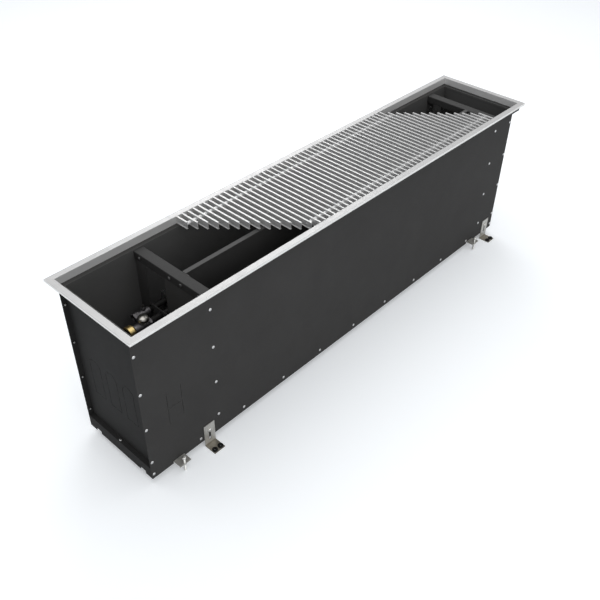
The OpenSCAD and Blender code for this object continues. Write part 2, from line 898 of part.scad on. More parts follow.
module supply_valve_body() {
  color("dimgray")
    difference() {
      union() {
        round_x(supply_x0, supply_x1, supply_y, top_row_z, supply_spigot_d);
        round_x(supply_x0 + spigot_l, supply_x1 - socket_l, supply_y, top_row_z, supply_d);
        hex_x(supply_x1 - socket_l, supply_x1, supply_y, top_row_z, supply_d);
        translate([spindle_x, supply_y, top_row_z])
          cylinder(h = neck_h, d = neck_d);
        translate([spindle_x, supply_y, top_row_z])
          cylinder(h = neck_h + spindle_l, d = spindle_d);
      }
      round_x(supply_x0 - eps, supply_x1 + eps, supply_y, top_row_z, bore_d);
      round_x(supply_x1 - socket_l, supply_x1 + eps, supply_y, top_row_z, tube_d);
    }
}

module supply_valve_cap() {
  base_z = neck_z + run_gap;
  r = cap_d / 2;
  color("silver")
    translate([spindle_x, supply_y, base_z])
      difference() {
        rotate_extrude()
          polygon(concat([[0, 0], [r - cap_side_h / 6, 0], [r, cap_side_h / 6]],
                         [for (s = cap_dome_shares) [r * s[0], cap_side_h + cap_dome_h * s[1]]],
                         [[0, cap_side_h + cap_dome_h]]));
        translate([0, 0, -eps])
          cylinder(h = spindle_l + eps, d = spindle_d + 2 * pin_gap);
      }
}

module supply_union_nut() {
  x1 = supply_x0 + spigot_l - run_gap;
  color("goldenrod")
    difference() {
      hex_x(x1 - supply_nut_l, x1, supply_y, top_row_z, supply_nut_af);
      round_x(x1 - supply_nut_l - eps, x1 + eps, supply_y, top_row_z, supply_spigot_d + 2 * pin_gap);
    }
}

module return_valve_body() {
  color("dimgray")
    difference() {
      union() {
        round_x(return_x0, return_x1, return_y, top_row_z, return_spigot_d);
        round_x(return_x0 + spigot_l, return_x1, return_y, top_row_z, return_d);
        translate([vent_x, return_y, top_row_z])
          cylinder(h = vent_h, d = vent_d);
      }
      round_x(return_x0 - eps, return_x1 + eps, return_y, top_row_z, bore_d);
      round_x(return_x1 - socket_l, return_x1 + eps, return_y, top_row_z, tube_d);
      translate([vent_x, return_y, top_row_z + vent_h - vent_screw_in - pin_gap])
        cylinder(h = vent_screw_in + eps, d = vent_screw_d + 2 * pin_gap);
    }
}

module return_union_nut() {
  x1 = return_x0 + spigot_l - run_gap;
  color("dimgray")
    difference() {
      hex_x(x1 - return_nut_l, x1, return_y, top_row_z, return_nut_af);
      round_x(x1 - return_nut_l - eps, x1 + eps, return_y, top_row_z, return_spigot_d + 2 * pin_gap);
    }
}

module air_vent_screw() {
  top_z = top_row_z + vent_h;
  color("silver")
    translate([vent_x, return_y, top_z]) {
      translate([0, 0, -vent_screw_in])
        cylinder(h = vent_screw_in + run_gap, d = vent_screw_d);
      translate([-vent_head_w / 2, -vent_head_w / 2, run_gap])
        cube([vent_head_w, vent_head_w, vent_head_h]);
    }
}

// Angle tab that reaches out through the notches at the casing's front edge, forked round its screw
module foot_tab(x) {
  inner_y = -half_in + sheet_t;
  fork_w = screw_d + 2 * run_gap;
  low_z = foot_z - plate_t;
  difference() {
    union() {
      box([x - tab_w / 2, -half_w - tab_out, low_z], [x + tab_w / 2, inner_y + plate_t, foot_z]);
      box([x - tab_w / 2, inner_y, low_z], [x + tab_w / 2, inner_y + plate_t, foot_z + tab_leg]);
    }
    translate([x, -half_w - screw_out, low_z - eps])
      cylinder(h = plate_t + 2 * eps, d = fork_w);
    box([x - fork_w / 2, -half_w - tab_out - eps, low_z - eps],
        [x + fork_w / 2, -half_w - screw_out, foot_z + eps]);
  }
}

module foot_tabs() {
  color("tan")
    for (sy = [0, 1])
      mirror([0, sy, 0])
        for (x = foot_x)
          foot_tab(x);
}

module foot_nuts() {
  color("silver")
    for (sy = [-1, 1])
      for (x = foot_x)
        translate([x, sy * (half_w + screw_out), foot_z - plate_t - nut_h])
          difference() {
            cylinder(h = nut_h, d = nut_af / cos(30), $fn = 6);
            translate([0, 0, -eps])
              cylinder(h = nut_h + 2 * eps, d = screw_d + 2 * pin_gap);
          }
}

// Slotted round-head screw that stands on the slab
module levelling_screw(x, sy) {
  color("silver")
    translate([x, sy * (half_w + screw_out), 0])
      difference() {
        union() {
          cylinder(h = screw_l - screw_head_h, d = screw_d);
          translate([0, 0, screw_l - screw_head_h])
            cylinder(h = screw_head_h, d = screw_head_d);
        }
        translate([-screw_head_d, -drive_w / 2, screw_l - drive_h])
          cube([2 * screw_head_d, drive_w, drive_h + eps]);
      }
}

module levelling_screw_front_left() {
  levelling_screw(foot_x[0], -1);
}

module levelling_screw_front_right() {
  levelling_screw(foot_x[1], -1);
}

module levelling_screw_back_left() {
  levelling_screw(foot_x[0], 1);
}

module levelling_screw_back_right() {
  levelling_screw(foot_x[1], 1);
}

// Slotted angle bracket on the front side
module floor_bracket(x) {
  back_y = -half_w - run_gap;
  slot_d = clamp_d + 2 * run_gap;
  color("tan")
    difference() {
      union() {
        box([x - bracket_w / 2, back_y - plate_t, 0], [x + bracket_w / 2, back_y, bracket_h]);
        box([x - bracket_w / 2, -half_w - bracket_out, 0], [x + bracket_w / 2, back_y, plate_t]);
      }
      for (z = [clamp_z - slot_travel, clamp_z])
        translate([x, back_y + eps, z])
          rotate([90, 0, 0])
            cylinder(h = plate_t + 2 * eps, d = slot_d);
      box([x - slot_d / 2, back_y - plate_t - eps, clamp_z - slot_travel], [x + slot_d / 2, back_y + eps, clamp_z]);
      for (s = [-1, 1])
        translate([x + s * grommet_pitch / 2, -half_w - grommet_out, -eps])
          cylinder(h = plate_t + 2 * eps, d = grommet_neck_d);
    }
}

// Pair of rubber grommets in a front bracket's foot
module grommet_pair(x) {
  color("black")
    for (s = [-1, 1])
      translate([x + s * grommet_pitch / 2, -half_w - grommet_out, 0])
        difference() {
          union() {
            cylinder(h = plate_t, d = grommet_neck_d);
            translate([0, 0, plate_t])
              cylinder(h = grommet_h, d = grommet_d);
          }
          translate([0, 0, -eps])
            cylinder(h = plate_t + grommet_h + 2 * eps, d = grommet_hole_d);
        }
}

module floor_bracket_front_left() {
  floor_bracket(bracket_x[0]);
}

module floor_bracket_front_right() {
  floor_bracket(bracket_x[1]);
}

module floor_bracket_back_left() {
  mirror([0, 1, 0])
    floor_bracket(bracket_x[0]);
}

module floor_bracket_back_right() {
  mirror([0, 1, 0])
    floor_bracket(bracket_x[1]);
}

module grommets_front_left() {
  grommet_pair(bracket_x[0]);
}

module grommets_front_right() {
  grommet_pair(bracket_x[1]);
}

module grommets_back_left() {
  mirror([0, 1, 0])
    grommet_pair(bracket_x[0]);
}

module grommets_back_right() {
  mirror([0, 1, 0])
    grommet_pair(bracket_x[1]);
}

// Slotted clamp screw through a front bracket, the panel and the pan's flange
module clamp_screw(x) {
  seat_y = -half_w - plate_t - 2 * run_gap;
  translate([x, seat_y, clamp_z])
    difference() {
      union() {
        translate([0, -clamp_head_h, 0])
          rotate([-90, 0, 0])
            cylinder(h = clamp_head_h, d = clamp_head_d);
        rotate([-90, 0, 0])
          cylinder(h = plate_t + 2 * run_gap + 2 * sheet_t + nut_h, d = clamp_d);
      }
      translate([-clamp_head_d, -clamp_head_h - eps, -drive_w / 2])
        cube([2 * clamp_head_d, drive_h + eps, drive_w]);
    }
}

module clamp_screws() {
  color("silver")
    for (sy = [0, 1])
      mirror([0, sy, 0])
        for (x = bracket_x)
          clamp_screw(x);
}

module clamp_nuts() {
  color("silver")
    for (sy = [0, 1])
      mirror([0, sy, 0])
        for (x = bracket_x)
          translate([x, -half_in + sheet_t, clamp_z])
            rotate([-90, 0, 0])
              difference() {
                cylinder(h = nut_h, d = nut_af / cos(30), $fn = 6);
                translate([0, 0, -eps])
                  cylinder(h = nut_h + 2 * eps, d = clamp_d);
              }
}

// Section of a grille bar in the XZ plane
module bar_section() {
  z0 = bar_low_z;
  z1 = bar_low_z + bar_low_t;
  z2 = total_h - bar_top_t;
  polygon([[-bar_w / 2, z0], [bar_w / 2, z0], [bar_w / 2, z1], [bar_web / 2, z1], [bar_web / 2, z2],
           [bar_w / 2, z2], [bar_w / 2, total_h], [-bar_w / 2, total_h], [-bar_w / 2, z2], [-bar_web / 2, z2],
           [-bar_web / 2, z1], [-bar_w / 2, z1]]);
}

module grille_bars() {
  color("rosybrown")
    for (i = [0:bar_n - 1])
      difference() {
        translate([bar_x(i), 0, 0])
          along_y(bar_y0(bar_x(i)), bar_y1(bar_x(i)))
            bar_section();
        if (on_front_rod(bar_x(i)))
          round_x(bar_x(i) - bar_w, bar_x(i) + bar_w, -rod_y, bar_mid_z, rod_d);
        if (on_back_rod(bar_x(i)))
          round_x(bar_x(i) - bar_w, bar_x(i) + bar_w, rod_y, bar_mid_z, rod_d);
      }
}

front_bars = [for (i = [0:bar_n - 1]) if (on_front_rod(bar_x(i))) bar_x(i)];
back_bars = [for (i = [0:bar_n - 1]) if (on_back_rod(bar_x(i))) bar_x(i)];

module grille_rods() {
  color("silver") {
    round_x(front_bars[0] - bar_w / 2, front_bars[len(front_bars) - 1] + bar_w / 2, -rod_y, bar_mid_z, rod_d);
    round_x(back_bars[0] - bar_w / 2, back_bars[len(back_bars) - 1] + bar_w / 2, rod_y, bar_mid_z, rod_d);
  }
}

// Spacer sleeves between the bars of one rod
module sleeve_row(bars, y) {
  for (i = [0:len(bars) - 2])
    difference() {
      round_x(bars[i] + bar_web / 2, bars[i + 1] - bar_web / 2, y, bar_mid_z, sleeve_d);
      round_x(bars[i], bars[i + 1], y, bar_mid_z, rod_d);
    }
}

module grille_sleeves() {
  color("white") {
    sleeve_row(front_bars, -rod_y);
    sleeve_row(back_bars, rod_y);
  }
}

side_panel_front();
side_panel_back();
end_pan_left();
end_pan_right();
bottom_pan();
end_ledge_left();
end_ledge_right();
frame_rail_front();
frame_rail_back();
frame_rail_left();
frame_rail_right();
frame_corner_keys();
brace_left();
brace_right();
partition_left();
partition_right();
divider_screen();
casing_rivets();
brace_rivets();
fins();
tubes();
return_bends();
coil_plate_left();
coil_plate_right();
supply_valve_body();
supply_valve_cap();
supply_union_nut();
return_valve_body();
return_union_nut();
air_vent_screw();
foot_tabs();
foot_nuts();
levelling_screw_front_left();
levelling_screw_front_right();
levelling_screw_back_left();
levelling_screw_back_right();
floor_bracket_front_left();
floor_bracket_front_right();
floor_bracket_back_left();
floor_bracket_back_right();
grommets_front_left();
grommets_front_right();
grommets_back_left();
grommets_back_right();
clamp_screws();
clamp_nuts();
grille_bars();
grille_rods();
grille_sleeves();
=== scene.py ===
import math

import bmesh
import bpy
from mathutils import Matrix, Vector


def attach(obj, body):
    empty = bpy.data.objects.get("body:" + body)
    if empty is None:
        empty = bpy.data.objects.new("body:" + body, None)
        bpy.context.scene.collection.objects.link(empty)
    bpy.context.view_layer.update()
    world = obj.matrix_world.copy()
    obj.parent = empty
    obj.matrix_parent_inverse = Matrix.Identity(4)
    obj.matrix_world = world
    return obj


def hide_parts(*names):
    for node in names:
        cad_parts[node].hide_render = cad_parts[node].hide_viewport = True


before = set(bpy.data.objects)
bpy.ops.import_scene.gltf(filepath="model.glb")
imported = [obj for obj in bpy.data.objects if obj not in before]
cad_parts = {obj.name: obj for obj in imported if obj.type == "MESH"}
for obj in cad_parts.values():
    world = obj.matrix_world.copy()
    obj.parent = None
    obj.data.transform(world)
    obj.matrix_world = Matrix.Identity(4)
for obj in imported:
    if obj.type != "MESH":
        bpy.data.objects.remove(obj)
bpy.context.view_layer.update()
scene = bpy.context.scene
MM = 0.001


# ---------------------------------------------------------------- sizes, in metres

CASING_L = 1.472
CASING_W = 0.246
FRAME_L = 1.500
FRAME_W = 0.300
TOTAL_H = 0.480
LEDGE_Z = 0.460
FLOOR_GAP = 0.022
PAN_Z = 0.057
SHEET = 0.0015
HALF_L = CASING_L / 2
HALF_W = CASING_W / 2
HALF_IN = HALF_W - SHEET
END_WALL_X = HALF_L - 0.013
PAINTED_LIGHT_DEEP_Z = (0.20, 0.44)
PAINTED_SHADE_SLAB_Z = (0.003, 0.007)

BRACE_W = 0.028
BRACE_Z = 0.457
BRACE_LOW_Z = 0.436
BRACE_X = {"left": -0.522, "right": 0.640}
BRACE_RIVET_Y = [share * HALF_IN for share in (-0.84, -0.36, -0.04, 0.84)]
BRACE_RIVET_Z = (BRACE_LOW_Z + BRACE_Z - SHEET) / 2
DIVIDER_RIVET_Y = -0.031

RIVET_IN = 0.006
LOW_RIVETS = 11
LOW_RIVET_Z = FLOOR_GAP + 0.0145
COLUMN_X = [-HALF_L + RIVET_IN, BRACE_X["left"], BRACE_X["right"] + RIVET_IN, HALF_L - RIVET_IN]
COLUMN_Z = [0.078, 0.190, 0.302, 0.414]

BAR_PITCH = 0.017
BAR_LENGTH = FRAME_W - 0.032 - 0.0015
BAR_LOW_Z = LEDGE_Z + 0.0003
ROD_Y = BAR_LENGTH / 2 - 0.0296
ROD_Z = (BAR_LOW_Z + TOTAL_H) / 2
CUT_LEFT_X = -0.3026
CUT_RIGHT_X = 0.512
CUT_SHARE = 0.95
BAR_FIRST_X = CUT_LEFT_X - CUT_SHARE * (ROD_Y - 0.008)
BAR_COUNT = math.floor((CUT_RIGHT_X + CUT_SHARE * (ROD_Y - 0.008) - BAR_FIRST_X) / BAR_PITCH) + 1

COIL_X = (-0.490, 0.608)
COIL_Y = (-0.006, 0.102)
COIL_Z = (0.179, 0.323)
FIN_PITCH = 0.005

FOOT_X = {"left": -0.655, "right": 0.606}
FOOT_Y = HALF_W + 0.020
FOOT_NUT_Z = 0.023
BRACKET_X = {"left": -0.557, "right": 0.692}
CLAMP_Z = 0.049
CLAMP_SEAT_Y = HALF_W + 0.0026
GROMMET_Y = HALF_W + 0.028
GROMMET_OFFSET = 0.009

VALVE_Z = 0.305
SUPPLY_Y = 0.048
SUPPLY_X = (-0.6265, -0.5665)
SPINDLE_X = -0.5855
CAP_Z = VALVE_Z + 0.0143
UNION_REACH = 0.0117
RETURN_Y = 0.084
RETURN_X = -0.5845
VENT_X = -0.5575


# ---------------------------------------------------------------- node helpers

def node(tree, kind, settings=None, **inputs):
    """Adds a node; a socket given as an input is linked and any other value is set. i0 is the first input."""
    made = tree.nodes.new(kind)
    for key, value in (settings or {}).items():
        setattr(made, key, value)
    for key, value in inputs.items():
        socket = made.inputs[int(key[1:])] if key[1:].isdigit() else made.inputs[key.replace("_", " ")]
        if isinstance(value, bpy.types.NodeSocket):
            tree.links.new(value, socket)
        else:
            socket.default_value = value
    return made


def sums(tree, operation, a, b=0.0):
    """One step of arithmetic between sockets or numbers."""
    return node(tree, "ShaderNodeMath", {"operation": operation}, i0=a, i1=b).outputs[0]


def vector(tree, **axes):
    """A vector from sockets or numbers for X, Y and Z."""
    return node(tree, "ShaderNodeCombineXYZ", None, **axes).outputs[0]


def blank_group(name, kind, inputs, outputs):
    """A node group with named inputs and outputs; returns the group and its two end nodes."""
    group = bpy.data.node_groups.new(name, kind)
    for label, socket_type, *default in inputs:
        socket = group.interface.new_socket(name=label, in_out="INPUT", socket_type=socket_type)
        if default:
            socket.default_value = default[0]
    for label, socket_type in outputs:
        group.interface.new_socket(name=label, in_out="OUTPUT", socket_type=socket_type)
    return group, group.nodes.new("NodeGroupInput"), group.nodes.new("NodeGroupOutput")


# ---------------------------------------------------------------- surface effects shared by the finishes

def spread(tree, field, low, high, to_low=0.0, to_high=1.0):
    """Stretches the part of a field between two values over a new range."""
    return node(tree, "ShaderNodeMapRange", None, Value=field, From_Min=low, From_Max=high,
                To_Min=to_low, To_Max=to_high).outputs[0]


def noise(tree, place, scale, detail=2.0, rough=0.5, bend=0.0):
    """Noise at a scale given in waves a metre."""
    return node(tree, "ShaderNodeTexNoise", None, Vector=place, Scale=scale, Detail=detail,
                Roughness=rough, Distortion=bend).outputs[0]


def object_place(tree):
    """Place of a point on the part."""
    return node(tree, "ShaderNodeTexCoord").outputs["Object"]


def blend(tree, share, base, other, mode="MIX"):
    """Mixes two colours, each a socket or plain red, green and blue."""
    base, other = [(*colour, 1) if isinstance(colour, tuple) else colour for colour in (base, other)]
    return node(tree, "ShaderNodeMix", {"data_type": "RGBA", "blend_type": mode}, i0=share, i6=base,
                i7=other).outputs[2]


def sprayed_coat():
    """Powder coat: orange peel, fine fleck and slow changes of tone and gloss."""
    group, given, out = blank_group(
        "sprayed_coat", "ShaderNodeTree",
        [("Coat Colour", "NodeSocketColor", (0.02, 0.02, 0.02, 1)), ("Fleck", "NodeSocketFloat", 0.3),
         ("Gloss Change", "NodeSocketFloat", 0.1), ("Mean Roughness", "NodeSocketFloat", 0.5)],
        [("Colour", "NodeSocketColor"), ("Roughness", "NodeSocketFloat"), ("Height", "NodeSocketFloat")])
    place = object_place(group)
    peel = noise(group, place, 620.0, 2.0)
    fleck = spread(group, noise(group, place, 2600.0, 1.0), 0.60, 0.72)
    rubbed = noise(group, place, 31.0, 5.0, 0.65, 1.2)
    tone = spread(group, noise(group, place, 7.0, 4.0, 0.55, 0.4), 0.3, 0.7, 0.95, 1.05)
    grey = node(group, "ShaderNodeCombineColor", None, Red=tone, Green=tone, Blue=tone).outputs[0]
    toned = blend(group, 1.0, given.outputs["Coat Colour"], grey, "MULTIPLY")
    flecked = blend(group, sums(group, "MULTIPLY", fleck, given.outputs["Fleck"]), toned, (0.16, 0.16, 0.165))
    change = sums(group, "MULTIPLY", sums(group, "SUBTRACT", rubbed, 0.5), given.outputs["Gloss Change"])
    group.links.new(flecked, out.inputs["Colour"])
    group.links.new(sums(group, "ADD", given.outputs["Mean Roughness"], change), out.inputs["Roughness"])
    group.links.new(sums(group, "ADD", peel, sums(group, "MULTIPLY", fleck, 0.25)), out.inputs["Height"])
    return group


def drawn_lines():
    """Fine lines that run the way the metal was drawn, extruded or brushed."""
    group, given, out = blank_group(
        "drawn_lines", "ShaderNodeTree",
        [("Waves", "NodeSocketVector", (4.0, 900.0, 900.0))],
        [("Streak", "NodeSocketFloat"), ("Band", "NodeSocketFloat"), ("Height", "NodeSocketFloat")])
    fine = node(group, "ShaderNodeVectorMath", {"operation": "MULTIPLY"}, i0=object_place(group),
                i1=given.outputs["Waves"]).outputs[0]
    broad = node(group, "ShaderNodeVectorMath", {"operation": "SCALE"}, i0=fine, Scale=0.22).outputs[0]
    streak = noise(group, fine, 1.0, 3.0, 0.6)
    band = noise(group, broad, 1.0, 2.0, 0.5)
    group.links.new(streak, out.inputs["Streak"])
    group.links.new(band, out.inputs["Band"])
    group.links.new(sums(group, "ADD", streak, sums(group, "MULTIPLY", band, 0.5)), out.inputs["Height"])
    return group


def handling_marks():
    """Faint smears of fingers and rags, and a few hairline scratches."""
    group, given, out = blank_group(
        "handling_marks", "ShaderNodeTree",
        [("Smear Size", "NodeSocketFloat", 14.0), ("Scratches", "NodeSocketFloat", 0.5)],
        [("Smear", "NodeSocketFloat"), ("Scratch", "NodeSocketFloat")])
    place = object_place(group)
    smear = spread(group, noise(group, place, given.outputs["Smear Size"], 4.0, 0.6, 2.0), 0.48, 0.74)
    askew = node(group, "ShaderNodeMapping", None, Vector=place, Rotation=(0.6, 0.5, 0.9),
                 Scale=(26.0, 700.0, 700.0)).outputs[0]
    scratch = spread(group, noise(group, askew, 1.0, 1.0), 0.71, 0.76)
    group.links.new(smear, out.inputs["Smear"])
    group.links.new(sums(group, "MULTIPLY", scratch, given.outputs["Scratches"]), out.inputs["Scratch"])
    return group


def plating_clouds():
    """Cloudy change between two tones, as on zinc and nickel plating."""
    group, given, out = blank_group(
        "plating_clouds", "ShaderNodeTree",
        [("Light Tone", "NodeSocketColor", (0.6, 0.58, 0.5, 1)),
         ("Dark Tone", "NodeSocketColor", (0.4, 0.38, 0.33, 1)),
         ("Cloud Size", "NodeSocketFloat", 60.0), ("Mean Roughness", "NodeSocketFloat", 0.35)],
        [("Colour", "NodeSocketColor"), ("Roughness", "NodeSocketFloat"), ("Height", "NodeSocketFloat")])
    place = object_place(group)
    cloud = noise(group, place, given.outputs["Cloud Size"], 5.0, 0.6, 0.8)
    tone = blend(group, spread(group, cloud, 0.32, 0.68), given.outputs["Dark Tone"],
                 given.outputs["Light Tone"])
    gloss = spread(group, cloud, 0.2, 0.8, 0.07, -0.07)
    group.links.new(tone, out.inputs["Colour"])
    group.links.new(sums(group, "ADD", given.outputs["Mean Roughness"], gloss), out.inputs["Roughness"])
    group.links.new(noise(group, place, 1500.0, 2.0), out.inputs["Height"])
    return group


def painted_light_zones():
    """Masks told by the place, for painting light and shade: the casing's inner faces, its ends, deep down in
    it and on the slab.
    """
    group, given, out = blank_group(
        "painted_light_zones", "ShaderNodeTree", [],
        [(label, "NodeSocketFloat") for label in ("Inside", "End", "Deep", "On Slab")])
    parts = node(group, "ShaderNodeSeparateXYZ", None, Vector=object_place(group))
    along = sums(group, "ABSOLUTE", parts.outputs["X"])
    across = sums(group, "ABSOLUTE", parts.outputs["Y"])
    between_sides = sums(group, "LESS_THAN", across, HALF_W - SHEET / 2)
    between_ends = sums(group, "LESS_THAN", along, END_WALL_X - SHEET / 2)
    beyond_ends = sums(group, "MULTIPLY", between_sides, sums(group, "SUBTRACT", 1.0, between_ends))
    group.links.new(sums(group, "MULTIPLY", between_sides, between_ends), out.inputs["Inside"])
    group.links.new(beyond_ends, out.inputs["End"])
    group.links.new(spread(group, parts.outputs["Z"], *PAINTED_LIGHT_DEEP_Z, 1.0, 0.0), out.inputs["Deep"])
    group.links.new(spread(group, parts.outputs["Z"], *PAINTED_SHADE_SLAB_Z, 1.0, 0.0), out.inputs["On Slab"])
    return group


def painted_sheen_faces():
    """Masks told by the place, for painting reflection and highlight: the top face of the frame and the
    grille, and the frame's outer edge.
    """
    group, given, out = blank_group("painted_sheen_faces", "ShaderNodeTree", [],
                                    [("Top", "NodeSocketFloat"), ("Outer Edge", "NodeSocketFloat")])
    parts = node(group, "ShaderNodeSeparateXYZ", None, Vector=object_place(group))
    rim = 0.004
    past_ends = sums(group, "GREATER_THAN", sums(group, "ABSOLUTE", parts.outputs["X"]), FRAME_L / 2 - rim)
    past_sides = sums(group, "GREATER_THAN", sums(group, "ABSOLUTE", parts.outputs["Y"]), FRAME_W / 2 - rim)
    group.links.new(spread(group, parts.outputs["Z"], TOTAL_H - 0.0007, TOTAL_H - 0.0001), out.inputs["Top"])
    group.links.new(sums(group, "MAXIMUM", past_ends, past_sides), out.inputs["Outer Edge"])
    return group


COAT = sprayed_coat()
PAINTED_LIGHT_ZONES = painted_light_zones()
PAINTED_SHEEN_FACES = painted_sheen_faces()
LINES = drawn_lines()
MARKS = handling_marks()
CLOUDS = plating_clouds()


# ---------------------------------------------------------------- finishes

def finish(name):
    """A material with its shader, ready for its effects."""
    material = bpy.data.materials.new(name)
    material.use_nodes = True
    tree = material.node_tree
    return material, tree, tree.nodes["Principled BSDF"]


def use(tree, group, **inputs):
    """Places a shared effect in a material with its own values."""
    return node(tree, "ShaderNodeGroup", {"node_tree": group}, **inputs)


def dress(tree, shader, colour, roughness, height, depth):
    """Gives the shader its colour, its roughness and a small relief of the given depth in metres."""
    bump = node(tree, "ShaderNodeBump", None, Height=height, Distance=depth, Strength=1.0)
    tree.links.new(colour, shader.inputs["Base Color"])
    tree.links.new(roughness, shader.inputs["Roughness"])
    tree.links.new(bump.outputs[0], shader.inputs["Normal"])


def powder_coat(name, colour, roughness, fleck=0.12, specular=0.5, inside_painted_light=None, deep=None, ends=None):
    """Satin powder coat on folded sheet; on the casing, painted light makes the inner faces paler, and paler
    still deep down, and painted shade darkens its ends.
    """
    material, tree, shader = finish(name)
    coat = use(tree, COAT, Coat_Colour=(*colour, 1), Fleck=fleck, Gloss_Change=0.07, Mean_Roughness=roughness)
    # Painted light makes the inner faces paler and paler still deep down; painted shade darkens the ends.
    if inside_painted_light:
        zones = use(tree, PAINTED_LIGHT_ZONES)
        outer = blend(tree, zones.outputs["End"], colour, ends)
        inner = blend(tree, zones.outputs["Deep"], inside_painted_light, deep)
        tree.links.new(blend(tree, zones.outputs["Inside"], outer, inner), coat.inputs["Coat Colour"])
    marks = use(tree, MARKS, Smear_Size=9.0, Scratches=0.25)
    tone = blend(tree, sums(tree, "MULTIPLY", marks.outputs["Smear"], 0.03), coat.outputs["Colour"],
                 (0.13, 0.13, 0.135))
    shader.inputs["Specular IOR Level"].default_value = specular
    dress(tree, shader, tone, coat.outputs["Roughness"], coat.outputs["Height"], 0.00006)
    return material


def drawn_metal(name, light, dark, waves, roughness, scratches=0.4, depth=0.00002, metallic=1.0,
                below=None, edge=None):
    """Bare or anodised metal with lines along its length; below the top face it can have a plain, paler tone
    of painted reflection, and a painted highlight on the outer edge.
    """
    material, tree, shader = finish(name)
    lines = use(tree, LINES, Waves=waves)
    marks = use(tree, MARKS, Smear_Size=11.0, Scratches=scratches)
    tone = blend(tree, spread(tree, lines.outputs["Band"], 0.3, 0.7), dark, light)
    tone = blend(tree, sums(tree, "MULTIPLY", marks.outputs["Smear"], 0.5), tone, (0.86, 0.86, 0.87),
                 "MULTIPLY")
    # Painted reflection makes the faces below the top paler, and a painted highlight whitens the frame's
    # outer edge.
    if below:
        faces = use(tree, PAINTED_SHEEN_FACES)
        sides = blend(tree, faces.outputs["Outer Edge"], below, edge or below)
        tone = blend(tree, faces.outputs["Top"], sides, tone)
    gloss = spread(tree, lines.outputs["Streak"], 0.25, 0.75, roughness - 0.06, roughness + 0.06)
    gloss = sums(tree, "ADD", gloss, sums(tree, "MULTIPLY", marks.outputs["Smear"], 0.06))
    shader.inputs["Metallic"].default_value = metallic
    relief = sums(tree, "SUBTRACT", lines.outputs["Height"], marks.outputs["Scratch"])
    dress(tree, shader, tone, gloss, relief, depth)
    return material


def plated_metal(name, light, dark, cloud_size, roughness, depth=0.00002, sheltered_painted_shade=None, low=None,
                 metallic=1.0):
    """Plated or cast metal with a cloudy tone, with painted shade where the casing shelters it and on the
    part lying low on the slab.
    """
    material, tree, shader = finish(name)
    clouds = use(tree, CLOUDS, Light_Tone=(*light, 1), Dark_Tone=(*dark, 1), Cloud_Size=cloud_size,
                 Mean_Roughness=roughness)
    marks = use(tree, MARKS, Smear_Size=40.0, Scratches=0.6)
    tone = clouds.outputs["Colour"]
    # Painted shade darkens the parts on the casing's inner faces and ends.
    if sheltered_painted_shade:
        zones = use(tree, PAINTED_LIGHT_ZONES)
        painted_shade_mask = sums(tree, "MAXIMUM", zones.outputs["Inside"], zones.outputs["End"])
        tone = blend(tree, painted_shade_mask, tone, (sheltered_painted_shade,) * 3, "MULTIPLY")
    # Painted shade: the foot lying on the slab is darkened and browned.
    if low:
        tone = blend(tree, use(tree, PAINTED_LIGHT_ZONES).outputs["On Slab"], tone, low, "MULTIPLY")
    gloss = sums(tree, "ADD", clouds.outputs["Roughness"],
                 sums(tree, "MULTIPLY", marks.outputs["Smear"], 0.08))
    shader.inputs["Metallic"].default_value = metallic
    relief = sums(tree, "SUBTRACT", clouds.outputs["Height"], marks.outputs["Scratch"])
    dress(tree, shader, tone, gloss, relief, depth)
    return material


def spangled_zinc(name):
    """Hot-dipped sheet with its crystal spangle."""
    material, tree, shader = finish(name)
    crystals = node(tree, "ShaderNodeTexVoronoi", {"feature": "F1"}, Vector=object_place(tree), Scale=90.0)
    marks = use(tree, MARKS, Smear_Size=20.0, Scratches=0.3)
    shade = node(tree, "ShaderNodeSeparateColor", None, Color=crystals.outputs["Color"]).outputs[0]
    tone = blend(tree, shade, (0.42, 0.43, 0.44), (0.60, 0.61, 0.62))
    gloss = sums(tree, "ADD", spread(tree, shade, 0.0, 1.0, 0.45, 0.30),
                 sums(tree, "MULTIPLY", marks.outputs["Smear"], 0.1))
    shader.inputs["Metallic"].default_value = 1.0
    dress(tree, shader, tone, gloss, shade, 0.00001)
    return material


def moulded(name, grey, roughness, grain, depth, specular=0.4):
    """Moulded rubber or plastic with a fine grain."""
    material, tree, shader = finish(name)
    clouds = use(tree, CLOUDS, Light_Tone=(*[grey * 1.2] * 3, 1), Dark_Tone=(*[grey * 0.8] * 3, 1),
                 Cloud_Size=grain, Mean_Roughness=roughness)
    shader.inputs["Specular IOR Level"].default_value = specular
    dress(tree, shader, clouds.outputs["Colour"], clouds.outputs["Roughness"], clouds.outputs["Height"],
          depth)
    return material


ALONG_X = (3.0, 1100.0, 1100.0)
ALONG_Y = (1100.0, 3.0, 1100.0)
ALONG_Z = (1100.0, 1100.0, 3.0)

# The casing coat has painted light on its inner faces, stronger deep down, and painted shade on its ends.
casing_coat = powder_coat("graphite_coat", (0.0465, 0.0455, 0.0447), 0.66, specular=0.08,
                          inside_painted_light=(0.076, 0.076, 0.075), deep=(0.165, 0.164, 0.162),
                          ends=(0.027, 0.0268, 0.0266))
# Paler and darker copies of the same graphite coat: painted light lifts the partitions and divider, painted
# shade darkens the braces.
inner_coat_painted_light = powder_coat("inner_graphite_coat_painted_light", (0.055, 0.0545, 0.054), 0.55, specular=0.25)
brace_coat_painted_shade = powder_coat("brace_graphite_coat_painted_shade", (0.029, 0.0288, 0.0286), 0.55, specular=0.2)
